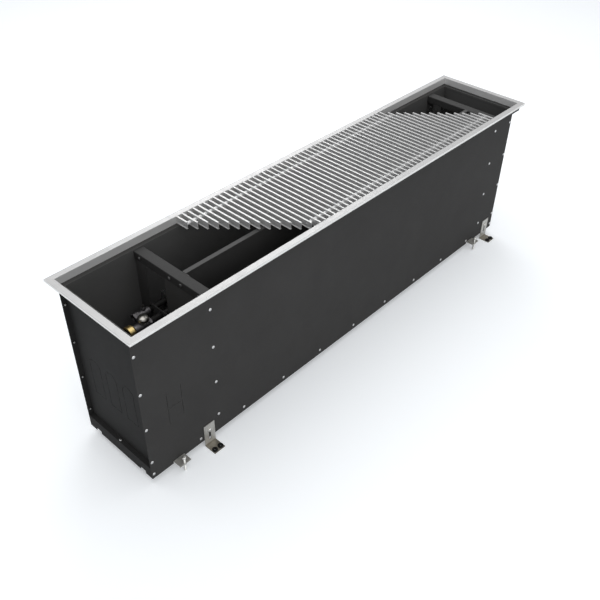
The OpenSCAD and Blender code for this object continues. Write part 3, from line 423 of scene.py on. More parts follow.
# Each rail's tone differs as painted light and shade; below gives the side faces a painted reflection and
# edge a painted highlight.
rail_alloy_painted_light = {
    side: drawn_metal("anodised_rail_" + side, (light,) * 3, (dark,) * 3, waves, 0.40, 0.15, 0.000006,
                      metallic=0.5, below=(0.72,) * 3, edge=(0.91, 0.90, 0.885))
    for side, light, dark, waves in (("front", 0.475, 0.445, ALONG_X), ("back", 0.50, 0.47, ALONG_X),
                                     ("left", 0.485, 0.46, ALONG_Y), ("right", 0.485, 0.455, ALONG_Y))}
# below gives the bar sides a painted reflection, paler than the tops.
bar_alloy = drawn_metal("anodised_grille_bar", (0.51,) * 3, (0.45,) * 3, ALONG_Y, 0.36, 0.25,
                        metallic=0.5, below=(0.65,) * 3)
key_alloy = drawn_metal("mill_finish_key", (0.60, 0.60, 0.61), (0.48, 0.48, 0.49), ALONG_X, 0.40)
# Rivets on the casing's inner faces and ends get painted shade, 0.6 as bright.
rivet_alloy = plated_metal("bright_rivet_alloy", (0.78,) * 3, (0.62,) * 3, 300.0, 0.30, sheltered_painted_shade=0.6)
fin_alloy = drawn_metal("rolled_fin_sheet", (0.72, 0.73, 0.74), (0.62, 0.63, 0.64), ALONG_Z, 0.34)
tube_coat = powder_coat("coated_tube", (0.014, 0.0135, 0.013), 0.62, 0.1, 0.15)
rod_steel = drawn_metal("drawn_rod_steel", (0.56, 0.56, 0.57), (0.44, 0.44, 0.45), ALONG_X, 0.30)
plate_steel = spangled_zinc("galvanised_plate")
valve_dark = plated_metal("dark_nickel_body", (0.19, 0.184, 0.19), (0.12, 0.115, 0.12), 70.0, 0.54, 0.00006)
valve_bright = plated_metal("satin_nickel", (0.37, 0.36, 0.335), (0.28, 0.27, 0.25), 55.0, 0.30, 0.00001)
union_brass = plated_metal("machined_brass", (0.60, 0.47, 0.21), (0.46, 0.34, 0.14), 80.0, 0.34, 0.00001)
# low gives the foot on the slab a painted shade, darker and browner.
bracket_plate = plated_metal("zinc_nickel_plate", (0.62, 0.61, 0.58), (0.50, 0.485, 0.45), 55.0, 0.34,
                             0.00003, low=(0.52, 0.49, 0.44), metallic=0.65)
screw_zinc = plated_metal("bright_zinc", (0.74, 0.74, 0.72), (0.60, 0.60, 0.58), 160.0, 0.40)
grommet_rubber = moulded("black_rubber", 0.005, 0.62, 500.0, 0.00008, 0.2)
sleeve_plastic = moulded("pale_spacer_plastic", 0.92, 0.5, 300.0, 0.00003)


# ---------------------------------------------------------------- shapes

def softened(corners, steps=3):
    """Outline whose corners, given as (across, up, radius), are rounded."""
    outline = []
    for i, (across, up, radius) in enumerate(corners):
        corner = Vector((across, up))
        before = (Vector(corners[i - 1][:2]) - corner).normalized()
        after = (Vector(corners[(i + 1) % len(corners)][:2]) - corner).normalized()
        if radius <= 0:
            outline.append(tuple(corner))
            continue
        half = before.angle(after) / 2
        centre = corner + (before + after).normalized() * (radius / math.sin(half))
        start = corner + before * (radius / math.tan(half)) - centre
        end = corner + after * (radius / math.tan(half)) - centre
        first = math.atan2(start.y, start.x)
        turn = (math.atan2(end.y, end.x) - first + math.pi) % (2 * math.pi) - math.pi
        outline += [(centre.x + radius * math.cos(first + turn * k / steps),
                     centre.y + radius * math.sin(first + turn * k / steps)) for k in range(steps + 1)]
    return outline


def in_metres(corners):
    """Turns lists of millimetres into metres."""
    return [tuple(value * MM for value in corner) for corner in corners]


def mesh_from(shape, name="shape"):
    """Writes a bmesh out as a mesh with its faces turned outwards."""
    bmesh.ops.recalc_face_normals(shape, faces=shape.faces)
    mesh = bpy.data.meshes.new(name)
    shape.to_mesh(mesh)
    shape.free()
    return mesh


def skin(shape, rings, closed=False):
    """Joins rings of vertices; a ring of one vertex is a pole."""
    pairs = list(zip(rings, rings[1:])) + ([(rings[-1], rings[0])] if closed else [])
    for low, high in pairs:
        count = max(len(low), len(high))
        if count == 1:
            continue
        for i in range(count):
            j = (i + 1) % count
            corners = [low[i % len(low)], low[j % len(low)], high[j % len(high)], high[i % len(high)]]
            shape.faces.new(list(dict.fromkeys(corners)))


def turned(profile, segments=48, hollow=False, flutes=None):
    """Solid of revolution about Z from (radius, height) points. flutes is (count, depth, low, high)."""
    shape = bmesh.new()
    rings = []
    for radius, height in profile:
        if radius < 1e-7:
            rings.append([shape.verts.new((0, 0, height))])
            continue
        ring = []
        for i in range(segments):
            angle = 2 * math.pi * i / segments
            reach = radius
            if flutes and flutes[2] <= height <= flutes[3]:
                reach -= flutes[1] * (0.5 + 0.5 * math.cos(flutes[0] * angle))
            ring.append(shape.verts.new((reach * math.cos(angle), reach * math.sin(angle), height)))
        rings.append(ring)
    skin(shape, rings, closed=hollow)
    return mesh_from(shape)


def long_section(outline, ends):
    """Solid whose outline, in X and Z, runs along Y between the two ends given for each point."""
    shape = bmesh.new()
    rings = [[shape.verts.new((x, end(x, z), z)) for x, z in outline] for end in ends]
    skin(shape, rings)
    shape.faces.new(rings[0])
    shape.faces.new(rings[1])
    return mesh_from(shape)


def hexagon(flats, height, bore, segments=48):
    """Hexagon nut on Z = 0 with chamfered corners and a countersunk bore."""
    shape = bmesh.new()
    face = flats * 0.475
    lead = min(0.0006, height / 6)
    rows = [[] for _ in range(8)]
    for i in range(segments):
        angle = 2 * math.pi * i / segments
        reach = flats / 2 / math.cos(angle % (math.pi / 3) - math.pi / 6)
        drop = (reach - face) * 0.5
        points = [(bore, lead), (bore + lead, 0), (face, 0), (reach, drop), (reach, height - drop),
                  (face, height), (bore + lead, height), (bore, height - lead)]
        for row, (radius, z) in zip(rows, points):
            row.append(shape.verts.new((radius * math.cos(angle), radius * math.sin(angle), z)))
    skin(shape, rows, closed=True)
    return mesh_from(shape)


def block(low, high):
    """Rectangular cutter."""
    shape = bmesh.new()
    bmesh.ops.create_cube(shape, size=1.0)
    for v in shape.verts:
        v.co = [(low[i] + high[i]) / 2 + v.co[i] * (high[i] - low[i]) for i in range(3)]
    return mesh_from(shape)


def joined(*meshes):
    """Several meshes as one."""
    shape = bmesh.new()
    for mesh in meshes:
        shape.from_mesh(mesh)
    result = bpy.data.meshes.new("joined")
    shape.to_mesh(result)
    shape.free()
    return result


def moved(mesh, place):
    """The mesh put in its place."""
    mesh.transform(place)
    return mesh


def along_x(x, y, z):
    """Place of a piece that was made along Z and lies along X."""
    return Matrix.Translation((x, y, z)) @ Matrix.Rotation(math.pi / 2, 4, "Y")


def result_of(carrier):
    """The mesh that an object's modifiers give."""
    graph = bpy.context.evaluated_depsgraph_get()
    graph.update()
    return bpy.data.meshes.new_from_object(carrier.evaluated_get(graph), preserve_all_data_layers=True,
                                           depsgraph=graph)


def carrier_for(mesh, name="carrier"):
    """A temporary object in the scene."""
    carrier = bpy.data.objects.new(name, mesh)
    scene.collection.objects.link(carrier)
    return carrier


def cut_out(mesh, cutter):
    """The mesh less the cutter."""
    body, tool = carrier_for(mesh), carrier_for(cutter)
    trim = body.modifiers.new("cut", "BOOLEAN")
    trim.operation = "DIFFERENCE"
    trim.solver = "EXACT"
    trim.object = tool
    result = result_of(body)
    bpy.data.objects.remove(body)
    bpy.data.objects.remove(tool)
    return result


def formed(name, bevel=0.0, merge=2e-6):
    """A copy of a CAD node as one clean skin, with its folds and cut edges eased by the bevel."""
    shape = bmesh.new()
    shape.from_mesh(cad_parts[name].data)
    bmesh.ops.remove_doubles(shape, verts=shape.verts, dist=merge)
    bmesh.ops.dissolve_limit(shape, angle_limit=math.radians(0.3), verts=shape.verts, edges=shape.edges)
    if bevel:
        edges = [e for e in shape.edges if len(e.link_faces) == 2 and e.calc_face_angle() > math.radians(30)]
        bmesh.ops.bevel(shape, geom=edges, offset=bevel, offset_type="OFFSET", segments=2, profile=0.5,
                        affect="EDGES", clamp_overlap=True)
    mesh = mesh_from(shape)
    if "custom_normal" in mesh.attributes:
        mesh.attributes.remove(mesh.attributes["custom_normal"])
    return mesh


def settle(name, mesh, metal, body="casing", nodes=(), smooth=40):
    """Shades a finished mesh, gives it its metal and hangs it on its body."""
    mesh.materials.clear()
    mesh.materials.append(metal)
    for face in mesh.polygons:
        face.material_index = 0
    mesh.shade_smooth()
    mesh.set_sharp_from_angle(angle=math.radians(smooth))
    piece = carrier_for(mesh, name)
    weigh = piece.modifiers.new("weigh", "WEIGHTED_NORMAL")
    weigh.keep_sharp = True
    weighed = result_of(piece)
    piece.modifiers.clear()
    piece.data = weighed
    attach(piece, body)
    if nodes:
        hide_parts(*nodes)
    return piece


def coat_node(metal, *names):
    """Gives CAD nodes their finish."""
    for name in names:
        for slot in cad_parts[name].material_slots:
            slot.material = metal


# ---------------------------------------------------------------- trees for what repeats

GEOMETRY = "NodeSocketGeometry"


def grow(tree, values, seed=None):
    """Runs a tree with its named inputs and returns the plain mesh."""
    carrier = carrier_for(seed or bpy.data.meshes.new("seed"))
    modifier = carrier.modifiers.new("grow", "NODES")
    modifier.node_group = tree
    for item in tree.interface.items_tree:
        if item.item_type == "SOCKET" and item.in_out == "INPUT" and item.name in values:
            modifier[item.identifier] = values[item.name]
    mesh = result_of(carrier)
    bpy.data.objects.remove(carrier)
    return mesh


def close_tree(tree, out, geometry, metal):
    """Ends a tree with real geometry and its metal."""
    real = node(tree, "GeometryNodeRealizeInstances", None, Geometry=geometry)
    done = node(tree, "GeometryNodeSetMaterial", None, Geometry=real.outputs[0], Material=metal)
    tree.links.new(done.outputs[0], out.inputs[0])


def bar_row_tree():
    """Grille bars side by side, each as long as the two slanted cuts leave it."""
    tree, given, out = blank_group(
        "bar_row", "GeometryNodeTree",
        [("Section", "NodeSocketObject"), ("Metal", "NodeSocketMaterial"), ("Bars", "NodeSocketInt"),
         ("First Bar", "NodeSocketFloat"), ("Pitch", "NodeSocketFloat"), ("Bar Length", "NodeSocketFloat"),
         ("Left Cut", "NodeSocketFloat"), ("Right Cut", "NodeSocketFloat"), ("Slant", "NodeSocketFloat")],
        [("Bars", GEOMETRY)])
    line = node(tree, "GeometryNodeMeshLine", {"mode": "OFFSET"}, Count=given.outputs["Bars"],
                Start_Location=vector(tree, X=given.outputs["First Bar"]),
                Offset=vector(tree, X=given.outputs["Pitch"]))
    place = node(tree, "GeometryNodeInputPosition").outputs[0]
    along = node(tree, "ShaderNodeSeparateXYZ", None, i0=place).outputs[0]
    half = sums(tree, "MULTIPLY", given.outputs["Bar Length"], 0.5)
    at_left_cut, at_right_cut = [
        sums(tree, "DIVIDE", sums(tree, "SUBTRACT", given.outputs[cut], along), given.outputs["Slant"])
        for cut in ("Left Cut", "Right Cut")]
    front = sums(tree, "MAXIMUM", sums(tree, "MULTIPLY", half, -1.0), at_left_cut)
    back = sums(tree, "MINIMUM", half, at_right_cut)
    middle = sums(tree, "MULTIPLY", sums(tree, "ADD", front, back), 0.5)
    placed = node(tree, "GeometryNodeSetPosition", None, Geometry=line.outputs[0],
                  Offset=vector(tree, Y=middle))
    section = node(tree, "GeometryNodeObjectInfo", None, Object=given.outputs["Section"])
    bars = node(tree, "GeometryNodeInstanceOnPoints", None, Points=placed.outputs[0],
                Instance=section.outputs["Geometry"],
                Scale=vector(tree, X=1.0, Y=sums(tree, "SUBTRACT", back, front), Z=1.0))
    close_tree(tree, out, bars.outputs[0], given.outputs["Metal"])
    return tree


def set_on_points_tree():
    """One piece set on every point, its Z axis along the point's facing."""
    tree, given, out = blank_group(
        "set_on_points", "GeometryNodeTree",
        [("Points", GEOMETRY), ("Piece", "NodeSocketObject"), ("Metal", "NodeSocketMaterial")],
        [("Pieces", GEOMETRY)])
    facing = node(tree, "GeometryNodeInputNamedAttribute", {"data_type": "FLOAT_VECTOR"}, Name="facing")
    turn = node(tree, "FunctionNodeAlignRotationToVector", {"axis": "Z"}, Vector=facing.outputs[0])
    piece = node(tree, "GeometryNodeObjectInfo", None, Object=given.outputs["Piece"])
    pieces = node(tree, "GeometryNodeInstanceOnPoints", None, Points=given.outputs["Points"],
                  Instance=piece.outputs["Geometry"], Rotation=turn.outputs[0])
    close_tree(tree, out, pieces.outputs[0], given.outputs["Metal"])
    return tree


def fin_block_tree():
    """Fins at an even pitch, each bent a little by hand and tool."""
    tree, given, out = blank_group(
        "fin_block", "GeometryNodeTree",
        [("Fin", "NodeSocketObject"), ("Metal", "NodeSocketMaterial"), ("Fins", "NodeSocketInt"),
         ("First Fin", "NodeSocketFloat"), ("Pitch", "NodeSocketFloat"), ("Centre", "NodeSocketVector"),
         ("Lean", "NodeSocketFloat"), ("Seed", "NodeSocketInt")], [("Fins", GEOMETRY)])
    start = node(tree, "ShaderNodeVectorMath", {"operation": "ADD"}, i0=given.outputs["Centre"],
                 i1=vector(tree, X=given.outputs["First Fin"])).outputs[0]
    line = node(tree, "GeometryNodeMeshLine", {"mode": "OFFSET"}, Count=given.outputs["Fins"],
                Start_Location=start, Offset=vector(tree, X=given.outputs["Pitch"]))
    lean = node(tree, "FunctionNodeRandomValue", {"data_type": "FLOAT"},
                i2=sums(tree, "MULTIPLY", given.outputs["Lean"], -1.0), i3=given.outputs["Lean"],
                Seed=given.outputs["Seed"]).outputs[1]
    turn = node(tree, "FunctionNodeEulerToRotation", None,
                i0=vector(tree, Y=lean, Z=sums(tree, "MULTIPLY", lean, -0.7)))
    fin = node(tree, "GeometryNodeObjectInfo", None, Object=given.outputs["Fin"])
    fins = node(tree, "GeometryNodeInstanceOnPoints", None, Points=line.outputs[0],
                Instance=fin.outputs["Geometry"], Rotation=turn.outputs[0])
    close_tree(tree, out, fins.outputs[0], given.outputs["Metal"])
    return tree


def thread_tree():
    """Threaded shank from Z = 0 upwards: a core with a ridge wound round it."""
    tree, given, out = blank_group(
        "thread", "GeometryNodeTree",
        [("Metal", "NodeSocketMaterial"), ("Diameter", "NodeSocketFloat"), ("Pitch", "NodeSocketFloat"),
         ("Length", "NodeSocketFloat")], [("Shank", GEOMETRY)])
    ridge = sums(tree, "MULTIPLY", given.outputs["Pitch"], 0.32)
    core = sums(tree, "SUBTRACT", sums(tree, "MULTIPLY", given.outputs["Diameter"], 0.5), ridge)
    wound = sums(tree, "SUBTRACT", given.outputs["Length"], sums(tree, "MULTIPLY", ridge, 2.0))
    shank = node(tree, "GeometryNodeMeshCylinder", None, Vertices=20, Radius=core,
                 Depth=given.outputs["Length"])
    raised = node(tree, "GeometryNodeTransform", None, Geometry=shank.outputs[0],
                  Translation=vector(tree, Z=sums(tree, "MULTIPLY", given.outputs["Length"], 0.5)))
    helix = node(tree, "GeometryNodeCurveSpiral", None, Resolution=20,
                 Rotations=sums(tree, "DIVIDE", wound, given.outputs["Pitch"]), Start_Radius=core,
                 End_Radius=core, Height=wound)
    level = node(tree, "GeometryNodeSetCurveNormal", {"mode": "Z_UP"}, Curve=helix.outputs[0])
    edge = node(tree, "GeometryNodeCurvePrimitiveCircle", None, Resolution=4, Radius=ridge)
    crest = node(tree, "GeometryNodeCurveToMesh", None, Curve=level.outputs[0], Profile_Curve=edge.outputs[0],
                 Fill_Caps=True)
    lifted = node(tree, "GeometryNodeTransform", None, Geometry=crest.outputs[0],
                  Translation=vector(tree, Z=ridge))
    both = node(tree, "GeometryNodeJoinGeometry")
    tree.links.new(raised.outputs[0], both.inputs[0])
    tree.links.new(lifted.outputs[0], both.inputs[0])
    close_tree(tree, out, both.outputs[0], given.outputs["Metal"])
    return tree


BAR_ROW = bar_row_tree()
SET_ON_POINTS = set_on_points_tree()
FIN_BLOCK = fin_block_tree()
THREAD = thread_tree()


def set_on_points(piece, points, metal):
    """A mesh with the piece set on each (place, facing)."""
    seed = bpy.data.meshes.new("points")
    seed.from_pydata([place for place, facing in points], [], [])
    attribute = seed.attributes.new("facing", "FLOAT_VECTOR", "POINT")
    for value, (place, facing) in zip(attribute.data, points):
        value.vector = facing
    pattern = carrier_for(piece)
    mesh = grow(SET_ON_POINTS, {"Piece": pattern, "Metal": metal}, seed)
    bpy.data.objects.remove(pattern)
    return mesh


# ---------------------------------------------------------------- grille

def make_grille():
    """Bars, rods and sleeves that lift out as one."""
    high, low, wide, web = TOTAL_H / MM, BAR_LOW_Z / MM, 2.5, 0.9
    section = softened(in_metres([
        (-wide, low, 0.3), (wide, low, 0.3), (wide, low + 1.6, 0.3), (web, low + 1.6, 0.6),
        (web, high - 2.4, 0.6), (wide, high - 2.4, 0.3), (wide, high, 0.45), (-wide, high, 0.45),
        (-wide, high - 2.4, 0.3), (-web, high - 2.4, 0.6), (-web, low + 1.6, 0.6),
        (-wide, low + 1.6, 0.3)]), 2)
    pattern = carrier_for(long_section(section, [lambda x, z: -0.5, lambda x, z: 0.5]))
    bars = grow(BAR_ROW, {"Section": pattern, "Metal": bar_alloy, "Bars": BAR_COUNT, "First Bar": BAR_FIRST_X,
                          "Pitch": BAR_PITCH, "Bar Length": BAR_LENGTH, "Left Cut": CUT_LEFT_X,
                          "Right Cut": CUT_RIGHT_X, "Slant": CUT_SHARE})
    bpy.data.objects.remove(pattern)
    settle("louvre_bars", bars, bar_alloy, "grille", ["grille_bars"])

    all_x = [BAR_FIRST_X + i * BAR_PITCH for i in range(BAR_COUNT)]
    rows = {-ROD_Y: [x for x in all_x if max(-BAR_LENGTH / 2, (CUT_LEFT_X - x) / CUT_SHARE) < -ROD_Y],
            ROD_Y: [x for x in all_x if min(BAR_LENGTH / 2, (CUT_RIGHT_X - x) / CUT_SHARE) > ROD_Y]}
    rods, places = [], []
    past_bar = wide * MM
    for y, row in rows.items():
        length = row[-1] - row[0] + 2 * past_bar
        rod = turned([(0, 0), (0.0014, 0), (0.002, 0.0006), (0.002, length - 0.0006), (0.0014, length),
                      (0, length)], 24)
        rods.append(moved(rod, along_x(row[0] - past_bar, y, ROD_Z)))
        places += [((x + web * MM, y, ROD_Z), (1, 0, 0)) for x in row[:-1]]
    settle("cross_rods", joined(*rods), rod_steel, "grille", ["grille_rods"])
    length = BAR_PITCH - 2 * web * MM
    sleeve = turned(softened([(0.002, 0, 0.0003), (0.004, 0, 0.0005), (0.004, length, 0.0005),
                              (0.002, length, 0.0003)], 1), 16, hollow=True)
    settle("bar_spacers", set_on_points(sleeve, places, sleeve_plastic), sleeve_plastic,
           "grille", ["grille_sleeves"])


# ---------------------------------------------------------------- frame

def make_frame():
    """Four mitred lengths of the same section."""
    top = TOTAL_H / MM
    section = softened(in_metres([
        (0, top - 7, 0.3), (1.5, top - 7, 0.3), (1.5, top - 2, 0.6), (14, top - 2, 0.6),
        (14, LEDGE_Z / MM, 0.3), (16, LEDGE_Z / MM, 0.3), (16, top, 0.6), (0, top, 0.8)]), 3)
    sides = [("front", FRAME_L, FRAME_W, -90), ("back", FRAME_L, FRAME_W, 90),
             ("left", FRAME_W, FRAME_L, 180), ("right", FRAME_W, FRAME_L, 0)]
    for side, length, spacing, turn in sides:
        shorter = (length - spacing) / 2
        rail = long_section([(spacing / 2 - across, z) for across, z in section],
                            [lambda x, z: -(shorter + x), lambda x, z: shorter + x])
        moved(rail, Matrix.Rotation(math.radians(turn), 4, "Z"))
        settle("edge_rail_" + side, rail, rail_alloy_painted_light[side], "casing",
               ["frame_rail_" + side])
    coat_node(key_alloy, "frame_corner_keys")


# ---------------------------------------------------------------- casing

def blind_rivet():
    """Blind rivet with its seat on Z = 0, the pin's stub in the head and the set tail below."""
    return turned(in_metres([
        (0, -6), (1.3, -5.9), (2.4, -5.2), (2.7, -4.2), (2.5, -3.05), (2.0, -3), (2.0, 0), (4.0, 0),
        (4.0, 0.25), (3.5, 0.72), (2.5, 1.08), (1.5, 1.2), (1.05, 1.1), (0.95, 0.6), (0.8, 0.55), (0.75, 0.8),
        (0, 0.85)]), 18)


def make_rivets():
    """All the rivets, set on the points where the sheets are holed."""
    casing = []
    for side in (-1, 1):
        row = [(-HALF_L + RIVET_IN + k * (CASING_L - 2 * RIVET_IN) / (LOW_RIVETS - 1), LOW_RIVET_Z)
               for k in range(LOW_RIVETS)]
        columns = [(x, z) for x in COLUMN_X for z in COLUMN_Z]
        casing += [((x, side * HALF_W, z), (0, side, 0)) for x, z in row + columns]
    casing += [((end * (HALF_L - RIVET_IN), 0, PAN_Z + SHEET), (0, 0, 1)) for end in (-1, 1)]
    brace = []
    for side, out in (("left", -1), ("right", 1)):
        x = BRACE_X[side]
        brace += [((x + out * BRACE_W / 2, y, BRACE_RIVET_Z), (out, 0, 0)) for y in BRACE_RIVET_Y]
        brace.append(((x - out * (BRACE_W / 2 + SHEET), DIVIDER_RIVET_Y, BRACE_RIVET_Z), (-out, 0, 0)))
    for name, points in (("casing", casing), ("brace", brace)):
        mesh = set_on_points(blind_rivet(), points, rivet_alloy)
        settle("blind_rivets_" + name, mesh, rivet_alloy, "casing", [name + "_rivets"])


def make_casing():
    """Coated sheet: panels, pans and ledges from the model, braces and divider with their folds eased."""
    coat_node(casing_coat, "side_panel_front", "side_panel_back", "end_pan_left", "end_pan_right",
              "bottom_pan", "end_ledge_left", "end_ledge_right")
    coat_node(inner_coat_painted_light, "partition_left", "partition_right")
    top, low, half, sheet = BRACE_Z / MM, BRACE_LOW_Z / MM, BRACE_W / MM / 2, SHEET / MM
    section = softened(in_metres([
        (-half, low, 0.2), (-half + sheet, low, 0.2), (-half + sheet, top - sheet, 0.6),
        (half - sheet, top - sheet, 0.6), (half - sheet, low, 0.2), (half, low, 0.2), (half, top, 2.0),
        (-half, top, 2.0)]), 4)
    for side, x in BRACE_X.items():
        brace = long_section(section, [lambda x, z: -HALF_IN, lambda x, z: HALF_IN])
        moved(brace, Matrix.Translation((x, 0, 0)))
        settle("folded_brace_" + side, brace, brace_coat_painted_shade, "casing", ["brace_" + side])
    settle("folded_divider", formed("divider_screen", 0.0004), inner_coat_painted_light, "casing",
           ["divider_screen"])
    make_rivets()


# ---------------------------------------------------------------- coil

def make_coil():
    """Rippled fins on coated tubes between two end plates."""
    ripples = 8
    width, height = COIL_Y[1] - COIL_Y[0], COIL_Z[1] - COIL_Z[0]
    edge = [((-0.0005 if k % 2 else 0.0005), -width / 2 + k * width / ripples) for k in range(ripples + 1)]
    outline = [(x - 0.00012, y) for x, y in edge] + [(x + 0.00012, y) for x, y in reversed(edge)]
    shape = bmesh.new()
    rings = [[shape.verts.new((x, y, z)) for x, y in outline] for z in (-height / 2, height / 2)]
    skin(shape, rings)
    for ring in rings:
        shape.faces.new(ring)
    pattern = carrier_for(mesh_from(shape))
    room = COIL_X[1] - COIL_X[0] - 2 * SHEET
    count = math.floor(room / FIN_PITCH) - 1
    first = COIL_X[0] + SHEET + (room - (count - 1) * FIN_PITCH) / 2
    fins = grow(FIN_BLOCK, {"Fin": pattern, "Metal": fin_alloy, "Fins": count, "First Fin": first,
                            "Pitch": FIN_PITCH, "Centre": (0.0, sum(COIL_Y) / 2, sum(COIL_Z) / 2),
                            "Lean": 0.006, "Seed": 4})
    bpy.data.objects.remove(pattern)
    settle("rippled_fins", fins, fin_alloy, "casing", ["fins"], 20)
    settle("drawn_tubes", formed("tubes"), tube_coat, "casing", ["tubes"])
    settle("hairpin_bends", formed("return_bends"), tube_coat, "casing", ["return_bends"])
    coat_node(plate_steel, "coil_plate_left", "coil_plate_right")


# ---------------------------------------------------------------- valves

def make_valves():
    """Supply valve with its cap and union, return valve with its union and air vent."""
    x0, x1 = SUPPLY_X
    barrel = turned(softened(in_metres([
        (6, 0, 0.4), (10, 0, 0.8), (10, 12, 0.4), (12, 12, 1.4), (12, 52, 1.4), (7.5, 52, 0), (7.5, 54, 0),
        (6, 54, 0)]), 3), 48, hollow=True)
    outlet = hexagon(0.024, 0.008, 0.0075)
    neck = turned(softened(in_metres([
        (0, 0, 0), (9, 0, 0), (9, 9.5, 0.3), (8.1, 9.9, 0.3), (8.1, 10.7, 0.3), (9, 11.1, 0.3), (9, 14, 0.6),
        (4, 14, 0.3), (4, 21, 0.5), (0, 21, 0)]), 2), 40)
    body = joined(moved(barrel, along_x(x0, SUPPLY_Y, VALVE_Z)),
                  moved(outlet, along_x(x1 - 0.008, SUPPLY_Y, VALVE_Z)),
                  moved(neck, Matrix.Translation((SPINDLE_X, SUPPLY_Y, VALVE_Z))))
    settle("supply_valve", body, valve_dark, "casing", ["supply_valve_body"])

    cap = turned(softened(in_metres([
        (4.05, 0, 0.2), (13.2, 0, 0.5), (14.4, 1.2, 0.4), (14.4, 6, 0.8), (13.6, 8.9, 1.2), (11.1, 11.5, 2.0),
        (7.2, 13.6, 2.0), (2.9, 14.6, 1.0), (0, 14.8, 0), (0, 7, 0), (4.05, 7, 0.2)]), 3), 96, hollow=True,
        flutes=(24, 0.0007, 0.0011, 0.0058))
    settle("domed_cap", moved(cap, Matrix.Translation((SPINDLE_X, SUPPLY_Y, CAP_Z))), valve_bright,
           "supply_cap", ["supply_valve_cap"])
    union = turned(softened(in_metres([
        (13.8, 0, 0.3), (17.7, 0, 0.8), (18.6, 1.4, 0.8), (18.6, 14.2, 1.6), (15.0, 18, 1.6),
        (10.05, 18, 0.3), (10.05, 16, 0.2), (13.8, 16, 0.2)]), 4), 64, hollow=True)
    settle("brass_union", moved(union, along_x(x0 + UNION_REACH - 0.018, SUPPLY_Y, VALVE_Z)), union_brass,
           "supply_nut", ["supply_union_nut"])

    x0 = RETURN_X
    barrel = turned(softened(in_metres([
        (6, 0, 0.4), (8, 0, 0.6), (8, 12, 0.3), (10, 12, 1.2), (10, 42, 0.8), (7.5, 42, 0.3), (7.5, 34, 0),
        (6, 34, 0)]), 3), 48, hollow=True)
    boss = turned(softened(in_metres([
        (2.05, 8, 0), (5, 8, 0), (5, 15.4, 0.2), (4.4, 17, 0.3), (2.05, 17, 0.2)]), 2), 32, hollow=True)
    body = joined(moved(barrel, along_x(x0, RETURN_Y, VALVE_Z)),
                  moved(boss, Matrix.Translation((VENT_X, RETURN_Y, VALVE_Z))))
    settle("return_valve", body, valve_dark, "casing", ["return_valve_body"])
    union = hexagon(0.022, 0.016, 0.00805)
    settle("dark_union", moved(union, along_x(x0 + UNION_REACH - 0.016, RETURN_Y, VALVE_Z)), valve_dark,
           "return_nut", ["return_union_nut"])
    settle("vent_key_screw", formed("air_vent_screw", 0.0004), valve_bright, "vent_screw",
           ["air_vent_screw"])


# ---------------------------------------------------------------- feet and brackets

def slotted_head(radius, height):
    """Pan head on Z = 0 with a driving slot along X."""
    head = turned(softened([
        (0, 0, 0), (radius, 0, 0.0002), (radius, height * 0.35, 0.0009),
        (radius * 0.88, height * 0.72, 0.0012), (radius * 0.55, height * 0.95, 0.0015),
        (0, height, 0)], 3), 40)
    return cut_out(head, block((-2 * radius, -0.0008, height - 0.002), (2 * radius, 0.0008, height + 0.002)))


def threaded_screw(diameter, length, radius, height, metal):
    """Screw along Z: thread from zero up to its length, then the head."""
    shank = grow(THREAD, {"Metal": metal, "Diameter": diameter, "Pitch": 0.001, "Length": length})
    return joined(shank, moved(slotted_head(radius, height), Matrix.Translation((0, 0, length))))


def set_fasteners(name, piece, points, node_name):
    """Zinc-plated nuts or screws, one on each point."""
    settle(name, set_on_points(piece, points, screw_zinc), screw_zinc, "casing", [node_name])


def make_feet():
    """Tabs, nuts, levelling screws, slotted brackets with their grommets and clamp screws."""
    settle("foot_tab_plates", formed("foot_tabs", 0.0005), bracket_plate, "casing",
           ["foot_tabs"])
    feet = [(x, side) for x in FOOT_X.values() for side in (-1, 1)]
    clamps = [(x, side) for x in BRACKET_X.values() for side in (-1, 1)]
    nuts = [((x, side * FOOT_Y, FOOT_NUT_Z), (0, 0, 1)) for x, side in feet]
    set_fasteners("hexagon_foot_nuts", hexagon(0.010, 0.005, 0.00305), nuts, "foot_nuts")
    nuts = [((x, side * (HALF_IN - SHEET), CLAMP_Z), (0, -side, 0)) for x, side in clamps]
    set_fasteners("hexagon_clamp_nuts", hexagon(0.010, 0.005, 0.003), nuts, "clamp_nuts")
    shank = 0.0106
    clamp = threaded_screw(0.006, shank, 0.0055, 0.0035, screw_zinc)
    moved(clamp, Matrix.Translation((0, 0, -shank)))
    seats = [((x, side * CLAMP_SEAT_Y, CLAMP_Z), (0, side, 0)) for x, side in clamps]
    set_fasteners("slotted_clamp_screws", clamp, seats, "clamp_screws")
    grommet = turned(softened(in_metres([
        (2.25, 0, 0.2), (4.5, 0, 0.3), (4.5, 2, 0.2), (7.1, 2, 0.6), (7.5, 3.4, 1.0), (7.3, 5.2, 1.0),
        (5.6, 6, 1.2), (3.4, 6, 0.6), (2.25, 4.9, 0.5)]), 3), 40, hollow=True)
    for end in ("left", "right"):
        for name, side in (("front", -1), ("back", 1)):
            corner = name + "_" + end
            screw = threaded_screw(0.006, 0.0435, 0.00525, 0.0045, screw_zinc)
            moved(screw, Matrix.Translation((FOOT_X[end], side * FOOT_Y, 0)))
            settle("round_head_screw_" + corner, screw, screw_zinc, "levelling_" + corner,
                   ["levelling_screw_" + corner])
            settle("slotted_angle_" + corner, formed("floor_bracket_" + corner, 0.0005), bracket_plate,
                   "bracket_" + corner, ["floor_bracket_" + corner])
            points = [((BRACKET_X[end] + way * GROMMET_OFFSET, side * GROMMET_Y, 0), (0, 0, 1))
                      for way in (-1, 1)]
            settle("ring_grommets_" + corner, set_on_points(grommet, points, grommet_rubber), grommet_rubber,
                   "bracket_" + corner, ["grommets_" + corner])


# ---------------------------------------------------------------- floor, light and camera

